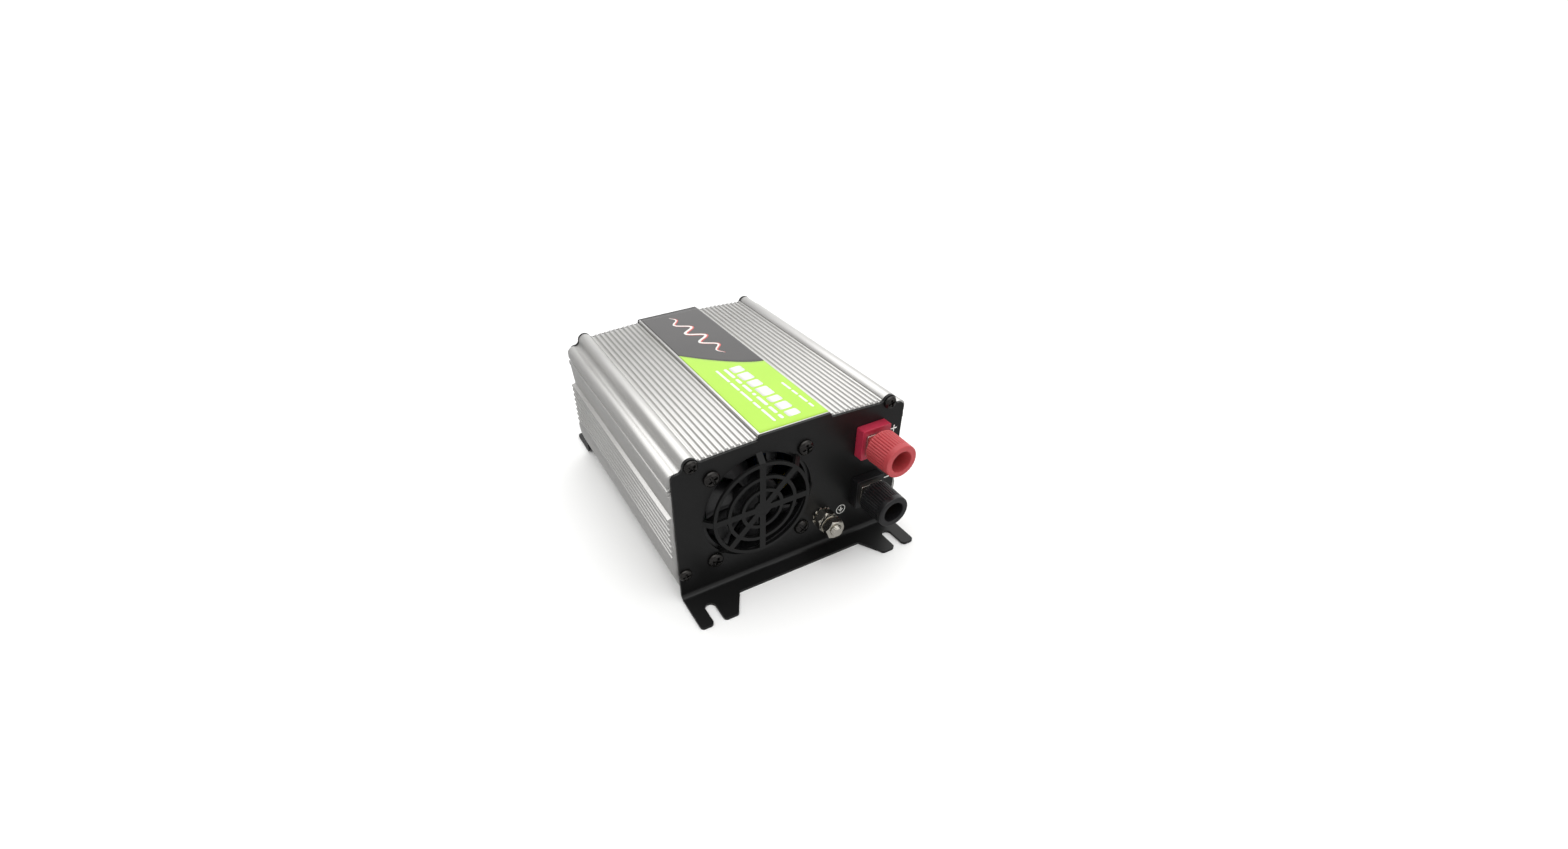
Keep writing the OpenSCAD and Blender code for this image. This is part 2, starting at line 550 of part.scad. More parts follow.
// ---------- AC outlets, switch and lamps ----------
blade_gap = 12.7;                           // between the two blade slots
blade_z = 4.5;                              // height of the blade slots over the outlet's middle
earth_z = -7.4;                             // and of the round earth hole
earth_r = 2.6;
outlet_depth = 20;
module outlet(x) at_rear() translate([x, 0, outlet_z]) difference() {
  union() {
    along_y(-2.2, 2.2) polygon(round_box(outlet_w, outlet_h, 2.5));
    along_y(0, outlet_depth) polygon(round_box(outlet_body[0], outlet_body[1], 1.9));
  }
  along_y(-3, 1.2) difference() {
    polygon(round_box(outlet_w - 3, outlet_h - 3, 1.5));
    polygon(round_box(outlet_w - 6, outlet_h - 6, 6));
  }
  for (s = [[-1, 8.7], [1, 7.2]]) translate([s[0] * blade_gap / 2 - 1.1, -3, blade_z - s[1] / 2])
    cube([2.2, 18, s[1]]);
  bar_y(0, earth_z, -3, 19, earth_r);
}
module outlet_1() color("#1f1f21") outlet(outlet_x[0]);
module outlet_2() color("#1f1f21") outlet(outlet_x[1]);
module outlet_tabs() color("#c9b37a") at_rear() for (x = outlet_x) translate([x, outlet_depth, outlet_z])
  for (p = [[-blade_gap / 2, blade_z], [blade_gap / 2, blade_z], [0, earth_z]])
    translate([p[0] - 0.4, 0, p[1] - 2.4]) cube([0.8, 8, 4.8]);
pivot_out = 0.5;                            // the rocker's pivot, outside the plate's face
rocker_w = 9.6;
switch_depth = 14;
module at_switch() at_rear() translate([switch_x, 0, switch_z]) children();
module switch_housing() color("#1a1a1b") at_switch() difference() {
  union() {
    along_y(-2, 2) polygon(round_box(switch_w, switch_h, 1));
    along_y(0, switch_depth) square(switch_body, center = true);
    for (z = [-5, 0, 5]) translate([-2.4, switch_depth, z - 0.4]) cube([4.8, 8, 0.8]);
  }
  translate([-rocker_w / 2 - 0.3, -3, -8.7]) cube([rocker_w + 0.6, 9.5, 17.4]);
  translate([-6, -pivot_out, 0]) rotate([0, 90, 0]) cylinder(h = 12, r = rocker_pin_r + 0.05);
}
// Two flats that meet in a shallow valley over the pivot; stored with the upper half out
module switch_rocker() color("#16161a") at_switch() translate([0, -pivot_out, 0])
  rotate([rocker_tilt, 0, 0]) {
  translate([-rocker_w / 2, 0, 0]) rotate([90, 0, 90]) linear_extrude(rocker_w) polygon(concat(
    [[-3.2, 0]], arc(-4.1, 7.1, 0.6, 180, 60, 4), [[0.8, 6.4], [1.6, 4], [1.6, -4], [0.8, -6.4]],
    arc(-4.1, -7.1, 0.6, -60, -180, 4)));
  translate([-5.8, 0, 0]) rotate([0, 90, 0]) cylinder(h = 11.6, r = rocker_pin_r);
}
module lamp(z) at_rear() translate([lamp_x, 0, z]) {
  rotate([90, 0, 0]) rotate_extrude() polygon(concat([[0, -plate_t]], [[lamp_r, -plate_t]],
    [for (a = [0:15:90]) [lamp_r * cos(a), 0.8 + lamp_r * sin(a)]]));
  bar_y(0, 0, plate_t, 1, lamp_r + 0.4);
  for (x = [-0.7, 0.7]) bar_y(x, 0, plate_t + 1, 6, 0.3);
}
module power_lamp() color("#37c24a") lamp(lamp_z[0]);
module fault_lamp() color("#d8342c") lamp(lamp_z[1]);

// ---------- circuit board and what stands on it ----------
module on_board(x = 0, y = 0, z = 0) translate([x, board_y + y, board_top + z]) children();
module board_places() for (i = [-1, 1], j = [-1, 1])
  translate([i * board_hole[0], board_y + board_len / 2 + j * board_hole[1], 0]) children();
module circuit_board() color("#2f6b3a") difference() {
  translate([-board_w / 2, board_y, board_z]) cube([board_w, board_len, board_t]);
  board_places() translate([0, 0, board_z - 1]) cylinder(h = board_t + 2, r = 1.65);
}
module board_standoffs() color("#c9b37a") board_places() translate([0, 0, floor_z]) difference() {
  cylinder(h = board_lift, r = 3);
  translate([0, 0, 1]) cylinder(h = board_lift, r = 1.5);
}
module board_screws() color("#b9b7b0") board_places() translate([0, 0, board_top]) {
  translate([0, 0, -board_t - 4]) cylinder(h = board_t + 4, r = 1.45);
  cylinder(h = 1.8, r1 = 2.8, r2 = 2.2);
}
core_w = 46;                                // ferrite core, across the board
core_h = 38;
core_d = 16;
limb_r = 7;                                 // round middle limb
winding_r = 15.6;
bobbin_h = 4;                               // bobbin's foot, which stands on the board
yoke_t = 7;
core_y = 58;
module transformer_core() color("#3b3b3d") on_board(0, core_y, bobbin_h) {
  difference() {
    translate([-core_w / 2, -core_d / 2, 0]) cube([core_w, core_d, core_h]);
    translate([0, 0, yoke_t]) cylinder(h = core_h - 2 * yoke_t, r = winding_r + 0.6);
  }
  translate([0, 0, yoke_t]) cylinder(h = core_h - 2 * yoke_t, r = limb_r);
}
module transformer_winding() color("#c8842c") on_board(0, core_y, bobbin_h + yoke_t + 1) difference() {
  cylinder(h = core_h - 2 * yoke_t - 2, r = winding_r);
  translate([0, 0, -1]) cylinder(h = core_h, r = limb_r + 0.9);
}
module transformer_bobbin() color("#2c2c2e") on_board(0, core_y) {
  translate([-17, -13, 0]) cube([34, 26, bobbin_h]);
  for (z = [bobbin_h + yoke_t, bobbin_h + core_h - yoke_t - 1]) translate([0, 0, z]) difference() {
    cylinder(h = 1, r = winding_r + 0.3);
    translate([0, 0, -1]) cylinder(h = 3, r = limb_r);
  }
  translate([0, 0, bobbin_h + yoke_t + 1]) difference() {
    cylinder(h = core_h - 2 * yoke_t - 2, r = limb_r + 0.9);
    translate([0, 0, -1]) cylinder(h = core_h, r = limb_r);
  }
}
module can(r, h) rotate_extrude() polygon([[0, 0], [r, 0], [r, 1.6], [r - 0.5, 2.2], [r, 2.8],
  [r, h - 0.8], [r - 0.8, h], [0, h]]);
module input_capacitors() color("#25406e") for (i = [0:2]) on_board(10 + 15 * i, 24) can(6.3, 25);
module bulk_capacitor() color("#1f2a3a") on_board(-34, 88) can(9, 34);
choke_r = 9;
choke_wire = 4.4;
module output_choke() color("#b8742a") on_board(32, 88, choke_wire) rotate_extrude()
  translate([choke_r, 0]) circle(choke_wire);
module control_card() color("#2f6b3a") on_board(-10, 34) {
  translate([-26, 0, 0]) cube([42, 1.6, 24]);
  for (i = [0:1]) translate([-22 + 18 * i, -2.4, 6]) cube([8, 2.4, 12]);
}
module buzzer() color("#1d1d1f") on_board(-42, 24) difference() {
  cylinder(h = 9, r = 6);
  translate([0, 0, 7]) cylinder(h = 3, r = 1);
}
fuse_x = [12, 31];
module fuse_holders() color("#202022") for (x = fuse_x) on_board(x, 6) difference() {
  translate([-1, -3.5, 0]) cube([13, 7, 8]);
  translate([0.5, -1.5, 3]) cube([10, 3, 6]);
}
module blade_fuses() color("#e8d24a") for (x = fuse_x) on_board(x, 6, 3) {
  translate([0.5, -1.5, 0]) cube([10, 3, 5]);
  translate([-0.5, -2.4, 5]) cube([12, 4.8, 6]);
}
bar_z = curve_z + 3;
bar_h = 26;
bar_y0 = 22;
bar_len = 84;
tab_pitch = 20;
tab_z = bar_z + 15;
module transistor_places() for (i = [0:3])
  translate([pad_x, board_y + bar_y0 + 12 + i * tab_pitch, 0]) children();
module heat_bar() difference() {
  translate([pad_x, board_y + bar_y0, bar_z]) cube([bar_t, bar_len, bar_h]);
  transistor_places() translate([-1, 0, tab_z + 5]) rotate([0, 90, 0]) cylinder(h = bar_t, r = 1.55);
}
module transistors() transistor_places() {
  difference() {
    translate([-1.3, -5, tab_z - 6]) cube([1.3, 10, 15]);
    translate([-3, 0, tab_z + 5]) rotate([0, 90, 0]) cylinder(h = 4, r = 1.8);
  }
  translate([-4.5, -5, tab_z - 6]) cube([3.2, 10, 8]);
  for (k = [-1:1]) translate([-3, k * 2.54 - 0.4, board_top]) cube([0.5, 0.8, tab_z - 6 - board_top]);
}
module transistor_screw_row() transistor_places() translate([-1.3, 0, tab_z + 5]) rotate([0, 90, 0]) {
  cylinder(h = 4.5, r = 1.5);
  translate([0, 0, -2]) cylinder(h = 2, r = 2.75);
}
module left_heat_bar() color("#c4c3be") mirror([1, 0, 0]) heat_bar();
module right_heat_bar() color("#c4c3be") heat_bar();
module left_transistors() color("#2a2a2c") mirror([1, 0, 0]) transistors();
module right_transistors() color("#2a2a2c") transistors();
module transistor_screws() color("#b9b7b0") {
  transistor_screw_row();
  mirror([1, 0, 0]) transistor_screw_row();
}

// ---------- wires ----------
lug_r = 6;
lug_reach = 9;                              // from the stud to the wire's crimp, on the lug's tongue
// A ring lug on a stud: an eye and a tongue that points along X, to the side that side says
module ring_lug(stud_r, hole_y, eye_r, side) difference() {
  union() {
    bar_y(0, 0, hole_y, lug_t, eye_r);
    along_y(hole_y, lug_t) translate([side * lug_reach / 2, 0]) square([lug_reach + 3, 5], center = true);
  }
  bar_y(0, 0, hole_y - 1, lug_t + 2, stud_r + gap / 2);
}
module power_lead(z, board_x) {
  lug_y = plate_t + inner_washer_t;
  at_post(z) ring_lug(post_r, lug_y, lug_r, 1);
  start = [post_x + lug_reach, front_y + lug_y + lug_t, z];
  end = [board_x, board_y + 16, board_top];
  wire([start, start + [0, 14, 0], end + [0, 0, 18], end], 2, [1, 0.05, 0]);
}
module red_lead() color("#b3202a") power_lead(red_post_z, 51);
module black_lead() color("#1c1c1e") power_lead(black_post_z, 46);
module ground_lead() color("#3f8f3a") {
  at_ground() ring_lug(ground_r, plate_t, 5.5, 1);
  start = [ground_x + lug_reach, case_y + lug_t, ground_z];
  end = [ground_x + lug_reach, board_y + 3, board_top];
  wire([start, start + [0, 12, 0], end + [0, 0, 9], end], 1.2, [1, 0, 0]);
}
module fan_lead() color("#b3202a") {
  start = [-fan_left - 12, case_y + fan_depth, fan_z - fan_size / 2 + 1.5];
  end = [-fan_left - 12, board_y + 6, board_top];
  wire([start, start + [0, 9, 0], end + [0, 0, 5], end], 0.8, [1, 0, 0]);
}

top_shell();
bottom_shell();
label();
front_plate();
rear_plate();
front_case_screws();
rear_case_screws();
fan_frame();
fan_stator();
fan_rotor();
fan_screws();
fan_nuts();
red_terminal_block();
red_terminal_stud();
red_clamp_plate();
red_cap();
red_cap_insert();
black_terminal_block();
black_terminal_stud();
black_clamp_plate();
black_cap();
black_cap_insert();
terminal_insulators();
terminal_nuts();
ground_stud();
ground_star_washer();
ground_fixed_nut();
ground_loose_washers();
ground_nut();
ground_inner_nut();
outlet_1();
outlet_2();
outlet_tabs();
switch_housing();
switch_rocker();
power_lamp();
fault_lamp();
circuit_board();
board_standoffs();
board_screws();
transformer_core();
transformer_winding();
transformer_bobbin();
input_capacitors();
bulk_capacitor();
output_choke();
control_card();
buzzer();
fuse_holders();
blade_fuses();
left_heat_bar();
right_heat_bar();
left_transistors();
right_transistors();
transistor_screws();
red_lead();
black_lead();
ground_lead();
fan_lead();
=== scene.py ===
# %% [markdown]
# # A power inverter, dressed for the studio
# A power inverter turns the 12 V of a battery into mains electricity. Its case is two ribbed
# aluminium extrusions between two black steel end plates. The CAD frame already holds every piece at
# its real size, so this lesson only gives those pieces their finished surfaces: rounded edges,
# flutes, threads, print and believable materials.

import json

import bmesh
import bpy
import numpy as np
from mathutils import Matrix, Vector


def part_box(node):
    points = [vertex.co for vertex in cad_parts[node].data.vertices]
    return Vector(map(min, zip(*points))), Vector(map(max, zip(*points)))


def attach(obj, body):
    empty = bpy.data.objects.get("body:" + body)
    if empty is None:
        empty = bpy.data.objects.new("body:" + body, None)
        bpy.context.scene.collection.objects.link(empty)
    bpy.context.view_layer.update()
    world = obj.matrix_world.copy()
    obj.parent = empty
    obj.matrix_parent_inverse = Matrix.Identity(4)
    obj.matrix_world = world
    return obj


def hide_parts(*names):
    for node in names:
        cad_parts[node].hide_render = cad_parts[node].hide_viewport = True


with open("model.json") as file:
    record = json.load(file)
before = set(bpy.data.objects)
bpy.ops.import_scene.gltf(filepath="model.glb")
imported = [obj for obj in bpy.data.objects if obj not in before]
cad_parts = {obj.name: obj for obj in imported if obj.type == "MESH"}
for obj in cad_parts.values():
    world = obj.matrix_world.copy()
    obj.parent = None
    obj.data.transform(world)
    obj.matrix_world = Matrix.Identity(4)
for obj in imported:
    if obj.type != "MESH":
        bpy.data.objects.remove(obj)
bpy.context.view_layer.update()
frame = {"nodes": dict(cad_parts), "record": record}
MM = 0.001


def low(node):
    """The lowest corner of a CAD node, in millimetres."""
    return np.array(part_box(node)[0]) / MM


def high(node):
    """The highest corner of a CAD node, in millimetres."""
    return np.array(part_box(node)[1]) / MM


def middle(node):
    """The middle of a CAD node's box, in millimetres."""
    return (low(node) + high(node)) / 2


plate_t = 1.5  # thickness of the steel end plates
front_y = low("top_shell")[1] - plate_t  # outer face of the plate at the DC end
rear_y = high("top_shell")[1] + plate_t  # outer face of the plate at the AC end
print(f"the case is {rear_y - front_y:.1f} mm long over its plates")

# %% [markdown]
# ## Working on an end plate
# Screws, terminals and sockets all sit on one of the two end plates. It is easiest to shape them in
# the plate's own directions, right, up and out of the plate, in millimetres, and to turn the
# finished points into the frame's metres in one step.


# %% Right, up and out
def on_front(points):
    """Right, up and out at the DC end become X, -Y from the plate's face, and Z, in metres."""
    right, up, out = np.moveaxis(np.asarray(points, float), -1, 0)
    return np.stack([right, front_y - out, up], -1) * MM


def on_rear(points):
    """Right, up and out at the AC end become -X, +Y from the plate's face, and Z, in metres."""
    right, up, out = np.moveaxis(np.asarray(points, float), -1, 0)
    return np.stack([-right, rear_y + out, up], -1) * MM


def turned(points, degrees):
    """Points turned about the out direction: the usual rotation of right and up by one angle."""
    c, s = np.cos(np.radians(degrees)), np.sin(np.radians(degrees))
    return np.asarray(points) @ np.array([[c, s, 0], [-s, c, 0], [0, 0, 1]])


# %% [markdown]
# ## From grids of points to meshes
# Every new piece is a grid of points worked out by a formula. A grid that closes on itself one way
# is a tube, and one that closes both ways is a ring like a washer. Faces are found from the grid's
# row and column numbers, with no loop over points.


# %% Grid faces and mesh objects
def grid_faces(rows, columns, around=False, looped=False, start=0):
    """Squares that join neighbours of a grid. around joins the last column to the first, and looped
    joins the last row to the first."""
    r, c = np.meshgrid(np.arange(rows - (not looped)), np.arange(columns - (not around)), indexing="ij")
    r1, c1 = (r + 1) % rows, (c + 1) % columns
    corners = np.stack([r * columns + c, r * columns + c1, r1 * columns + c1, r1 * columns + c], -1)
    return (corners.reshape(-1, 4) + start).tolist()


def piece(name, points, faces, material, slot, body="chassis", replaces=(), crease=35):
    """A mesh object that rides on a body. Doubled points are merged, the faces are turned outwards,
    and edges sharper than crease degrees stay sharp."""
    mesh = bpy.data.meshes.new(name)
    mesh.from_pydata(np.asarray(points).reshape(-1, 3).tolist(), [], faces)
    work = bmesh.new()
    work.from_mesh(mesh)
    bmesh.ops.remove_doubles(work, verts=work.verts, dist=1e-7)
    bmesh.ops.dissolve_degenerate(work, edges=work.edges, dist=1e-8)
    bmesh.ops.recalc_face_normals(work, faces=work.faces)
    work.to_mesh(mesh)
    work.free()
    mesh.shade_smooth()
    mesh.set_sharp_from_angle(angle=np.radians(crease))
    obj = bpy.data.objects.new(name, mesh)
    bpy.context.scene.collection.objects.link(obj)
    mesh.materials.append(material)
    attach(obj, body)
    if replaces:
        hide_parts(*replaces)
    print(f"{name}: {len(mesh.polygons)} faces")
    return obj


def copies(grid, places):
    """One grid of points repeated: each place is a function that puts the points in the frame."""
    return np.stack([place(grid) for place in places])


def repeated(name, grid, places, around, looped, caps, *args, **kwargs):
    """Several equal solids in one piece. caps closes the first and last rows with one face each."""
    rows, columns = grid.shape[:2]
    faces = []
    for k in range(len(places)):
        start = k * rows * columns
        faces += grid_faces(rows, columns, around, looped, start)
        if caps:
            faces += [list(range(start, start + columns))]
            faces += [list(range(start + (rows - 1) * columns, start + rows * columns))]
    return piece(name, copies(grid, places), faces, *args, **kwargs)


def lathe(profile, columns, radius_of=None):
    """A profile of (radius, out) turned about the out axis. radius_of may change each radius by its
    angle: it is given the radius, the angle and out, and returns the new radius."""
    radius, out = np.asarray(profile, float).T[:, :, None]
    angle = np.linspace(0, 2 * np.pi, columns, endpoint=False)[None, :]
    if radius_of:
        radius = radius_of(radius, angle, out)
    return np.stack([radius * np.cos(angle), radius * np.sin(angle), out + 0 * angle], -1)


def rounded(corners, radii, steps=5):
    """A closed outline with its corners eased: each corner P becomes a quadratic curve from P - t d1
    to P + t d2, tangent to both sides, where t is its radius cut to 0.45 of the shorter side."""
    corners = np.asarray(corners, float)
    before = corners - np.roll(corners, 1, 0)
    after = np.roll(corners, -1, 0) - corners
    room = 0.45 * np.minimum(np.linalg.norm(before, axis=1), np.linalg.norm(after, axis=1))
    reach = np.minimum(np.broadcast_to(radii, len(corners)), room)[:, None]
    first = corners - reach * before / np.linalg.norm(before, axis=1, keepdims=True)
    last = corners + reach * after / np.linalg.norm(after, axis=1, keepdims=True)
    t = np.linspace(0, 1, steps)[None, :, None]
    curve = (1 - t) ** 2 * first[:, None] + 2 * t * (1 - t) * corners[:, None] + t**2 * last[:, None]
    return curve.reshape(-1, 2)


def arc(centre, radius, first, last, steps=9):
    """Points of a circle's arc, from the first angle to the last, in degrees."""
    angle = np.radians(np.linspace(first, last, steps))
    return np.stack([centre[0] + radius * np.cos(angle), centre[1] + radius * np.sin(angle)], -1)


# %% [markdown]
# ## Building materials from nodes
# A finish is a Principled shader whose tone, roughness and relief are stirred by noise at the scale
# of the real surface. One small function adds any node, sets it and wires it up.


# %% Colour and node helpers
def colour(code):
    """An sRGB hex code as linear RGBA, by the usual sRGB curve."""
    channel = np.array([int(code[i : i + 2], 16) for i in (1, 3, 5)]) / 255
    linear = np.where(channel <= 0.04045, channel / 12.92, ((channel + 0.055) / 1.055) ** 2.4)
    return (*linear, 1.0)


def add(material, kind, links=None, **settings):
    """Adds a node. links joins named inputs to other nodes' outputs, and settings are set on the
    node where it has that property, or else on the input of that name."""
    node = material.node_tree.nodes.new(kind)
    for key, value in settings.items():
        if hasattr(node, key):
            setattr(node, key, value)
        else:
            node.inputs[key.replace("_", " ")].default_value = value
    for key, output in (links or {}).items():
        material.node_tree.links.new(output, node.inputs[key])
    return node


def blank(name):
    """A new material, its Principled shader, and the point's own position in metres."""
    material = bpy.data.materials.new(name)
    material.use_nodes = True
    place = add(material, "ShaderNodeTexCoord").outputs["Object"]
    return material, material.node_tree.nodes["Principled BSDF"], place


def grained(name, tones, rough, grain, relief, metallic=0.0, stretch=(1, 1, 1), wear=0.06, **settings):
    """A surface with a grain of so many millimetres. tones are two near colours that drift into each
    other over 20 grains, rough is the mean roughness, wear how far it varies, and relief the height
    of the grain in millimetres. stretch under 1 draws the grain out along that axis."""
    material, shader, place = blank(name)
    scaled = add(material, "ShaderNodeMapping", {"Vector": place}, Scale=stretch).outputs["Vector"]
    drift = add(material, "ShaderNodeTexNoise", {"Vector": scaled}, Scale=0.05 / (grain * MM), Detail=3.0)
    fine = add(material, "ShaderNodeTexNoise", {"Vector": scaled}, Scale=1 / (grain * MM), Detail=2.0)
    mix = add(material, "ShaderNodeMix", {"Factor": drift.outputs["Fac"]}, data_type="RGBA")
    mix.inputs["A"].default_value, mix.inputs["B"].default_value = map(colour, tones)
    spread = add(material, "ShaderNodeMapRange", {"Value": fine.outputs["Fac"]})
    spread.inputs["To Min"].default_value = rough - wear
    spread.inputs["To Max"].default_value = rough + wear
    bump = add(material, "ShaderNodeBump", {"Height": fine.outputs["Fac"]}, Distance=relief * MM)
    wire = material.node_tree.links.new
    wire(mix.outputs["Result"], shader.inputs["Base Color"])
    wire(spread.outputs["Result"], shader.inputs["Roughness"])
    wire(bump.outputs["Normal"], shader.inputs["Normal"])
    shader.inputs["Metallic"].default_value = metallic
    for key, value in settings.items():
        shader.inputs[key.replace("_", " ")].default_value = value
    return material


# %% [markdown]
# ## The finishes
# Extruded aluminium is bead-blasted, which leaves a fine sparkle, and then clear anodised. Faint die
# lines still run along its length, so its grain is drawn out along Y. The real blast grain is about
# 0.1 mm and would vanish in a picture, so it is drawn at 0.45 mm.

# %% Metals
aluminium = grained("Bead-blasted anodised aluminium", ("#d1d0ce", "#c8c7c4"), 0.44, 0.45, 0.006,
                    metallic=0.9, stretch=(1, 0.12, 1), wear=0.04)
mill_aluminium = grained("Mill-finish aluminium", ("#c4c3bf", "#b3b2ae"), 0.36, 0.5, 0.01,
                         metallic=1.0, stretch=(1, 0.05, 1))
powder_coat = grained("Black powder coat", ("#151515", "#111111"), 0.36, 0.55, 0.02, wear=0.05,
                      Specular_IOR_Level=0.32)
black_zinc = grained("Black zinc screw", ("#454341", "#2b2a2a"), 0.17, 0.4, 0.008, metallic=0.9)
bright_zinc = grained("Bright zinc plate", ("#bdbbb4", "#a5a39c"), 0.3, 0.5, 0.006, metallic=1.0)
nickel = grained("Dull nickel plate", ("#dcd8cf", "#c2bdb2"), 0.24, 0.5, 0.01, metallic=1.0)
brass = grained("Machined brass", ("#cdb274", "#b4975a"), 0.27, 0.3, 0.006, metallic=1.0)
copper = grained("Enamelled copper wire", ("#b4642e", "#9a4f20"), 0.28, 0.4, 0.05, metallic=0.9,
                 stretch=(0.2, 0.2, 1))
ferrite = grained("Sintered ferrite", ("#3a3a3c", "#2e2e30"), 0.62, 0.6, 0.03)

# %% [markdown]
# Moulded nylon takes a satin skin from its mould. The red terminal block is glossier and cooler
# than its cap, whose spark-eroded skin scatters more light and so looks paler.

# %% Plastics, film and lacquer
crimson_nylon = grained("Crimson nylon block", ("#bb3049", "#ae2b43"), 0.34, 0.6, 0.012, wear=0.05)
red_nylon = grained("Matt red nylon cap", ("#bf474b", "#b33e43"), 0.5, 0.5, 0.02, wear=0.05)
black_nylon = grained("Black nylon", ("#161618", "#121214"), 0.40, 0.5, 0.015, wear=0.06)
fan_plastic = grained("Black fan plastic", ("#1b1b1c", "#161617"), 0.38, 0.6, 0.01, wear=0.05)
outlet_plastic = grained("Black outlet plastic", ("#1d1d1f", "#18181a"), 0.4, 0.6, 0.012, wear=0.05)
white_nylon = grained("Natural nylon washer", ("#e6e0d2", "#dcd5c6"), 0.45, 0.6, 0.01)
epoxy = grained("Moulded epoxy", ("#1f1f21", "#262628"), 0.5, 0.4, 0.015)
yellow_plastic = grained("Clear yellow fuse plastic", ("#e5c62c", "#dab91f"), 0.25, 0.6, 0.004)
sleeve = grained("Shrunk capacitor sleeve", ("#1b3560", "#16305a"), 0.28, 0.8, 0.006)
solder_mask = grained("Green solder mask", ("#1f5a31", "#1b5029"), 0.3, 1.2, 0.02)
red_wire = grained("Red PVC insulation", ("#b01c24", "#a3161e"), 0.4, 0.8, 0.01)
black_wire = grained("Black PVC insulation", ("#1a1a1b", "#151516"), 0.4, 0.8, 0.01)
green_wire = grained("Green PVC insulation", ("#2f8a35", "#287c2e"), 0.4, 0.8, 0.01)
grey_film = grained("Charcoal printed film", ("#504e4d", "#484747"), 0.32, 0.8, 0.004, wear=0.04)
lime_film = grained("Lime printed film", ("#b4e24b", "#acdc42"), 0.34, 0.8, 0.004, wear=0.04)
white_ink = grained("White ink", ("#f2f2ee", "#e9e9e4"), 0.45, 0.5, 0.004)
red_ink = grained("Red ink", ("#e0716c", "#d8625e"), 0.45, 0.5, 0.004)
green_lens = grained("Green lamp lens", ("#2fbf4a", "#25b040"), 0.15, 1.0, 0.002, Coat_Weight=0.6)
red_lens = grained("Red lamp lens", ("#d62a24", "#c7211c"), 0.15, 1.0, 0.002, Coat_Weight=0.6)
print(len(bpy.data.materials), "materials")

# %% [markdown]
# ## Dressing the CAD nodes that are right already
# Flat and hidden parts keep their CAD mesh and only take a finish, by the material slot that the
# record gives them.

# %% A finish for every slot of the record
finish_of = {
    "anodised_aluminium": aluminium, "printed_label": lime_film, "powder_coated_steel": powder_coat,
    "black_screws": black_zinc, "black_fan_plastic": fan_plastic, "copper_winding": copper,
    "zinc_hardware": bright_zinc, "red_plastic": crimson_nylon, "black_plastic": black_nylon,
    "brass": brass, "nickel_plate": nickel, "white_nylon": white_nylon, "green_lens": green_lens,
    "red_lens": red_lens, "green_board": solder_mask, "ferrite": ferrite, "component_black": epoxy,
    "capacitor_sleeve": sleeve, "fuse_yellow": yellow_plastic, "plain_aluminium": mill_aluminium,
    "red_wire": red_wire, "black_wire": black_wire, "green_wire": green_wire,
}
slot_of = {part["node"]: part["material_slot"] for part in frame["record"]["subparts"]}
for name, obj in frame["nodes"].items():
    obj.data.materials.clear()
    obj.data.materials.append(finish_of[slot_of[name]])

# %% [markdown]
# ## Easing the edges of flat parts
# Laser-cut and powder-coated steel has no knife edges: the coat builds up and rounds them, and that
# thin line of light is what makes sheet metal look real. A copy of the CAD mesh is merged into
# large flat faces, and a Bevel modifier rounds what is left sharper than 30 degrees. Its corners'
# normals are weighted by the area of the faces around them, so a large face shades evenly.


# %% Eased copies
def eased(node, width, material=None, steps=2, body="chassis", angle=30):
    """A copy of a CAD node with its sharp edges rounded by width millimetres."""
    mesh = frame["nodes"][node].data.copy()
    work = bmesh.new()
    work.from_mesh(mesh)
    bmesh.ops.remove_doubles(work, verts=work.verts, dist=1e-6)
    bmesh.ops.dissolve_limit(work, angle_limit=np.radians(1.0), verts=work.verts, edges=work.edges)
    bmesh.ops.recalc_face_normals(work, faces=work.faces)
    work.to_mesh(mesh)
    work.free()
    if material:
        mesh.materials.clear()
        mesh.materials.append(material)
    mesh.shade_smooth()
    obj = bpy.data.objects.new("eased_" + node, mesh)
    bpy.context.scene.collection.objects.link(obj)
    bevel = obj.modifiers.new("Eased edges", "BEVEL")
    bevel.width = width * MM
    bevel.segments = steps
    bevel.limit_method = "ANGLE"
    bevel.angle_limit = np.radians(angle)
    bevel.use_clamp_overlap = True
    flat = obj.modifiers.new("Flat faces stay flat", "WEIGHTED_NORMAL")
    flat.mode = "FACE_AREA"
    flat.weight = 100
    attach(obj, body)
    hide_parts(node)
    return obj


for node in ("front_plate", "rear_plate"):
    eased(node, 0.3)
eased("fan_frame", 0.35)
eased("red_terminal_block", 0.45, crimson_nylon, steps=3)
eased("black_terminal_block", 0.45, black_nylon, steps=3)
eased("red_clamp_plate", 0.15, nickel, body="red_clamp")
eased("black_clamp_plate", 0.15, nickel, body="black_clamp")
for node in ("outlet_1", "outlet_2"):
    eased(node, 0.3, outlet_plastic)
eased("switch_housing", 0.3, outlet_plastic)
eased("switch_rocker", 0.4, black_nylon, steps=3, body="rocker")

# %% [markdown]
# ## The two shells
# Both shells are extrusions: one outline pushed through a die and sawn to length. The outline holds
# all the design: 11 ribs on each side of the label band, a screw channel or ear near each top edge,
# a cove, a round shoulder bead, two grooves where the shells meet, and 7 fine ribs down each side.

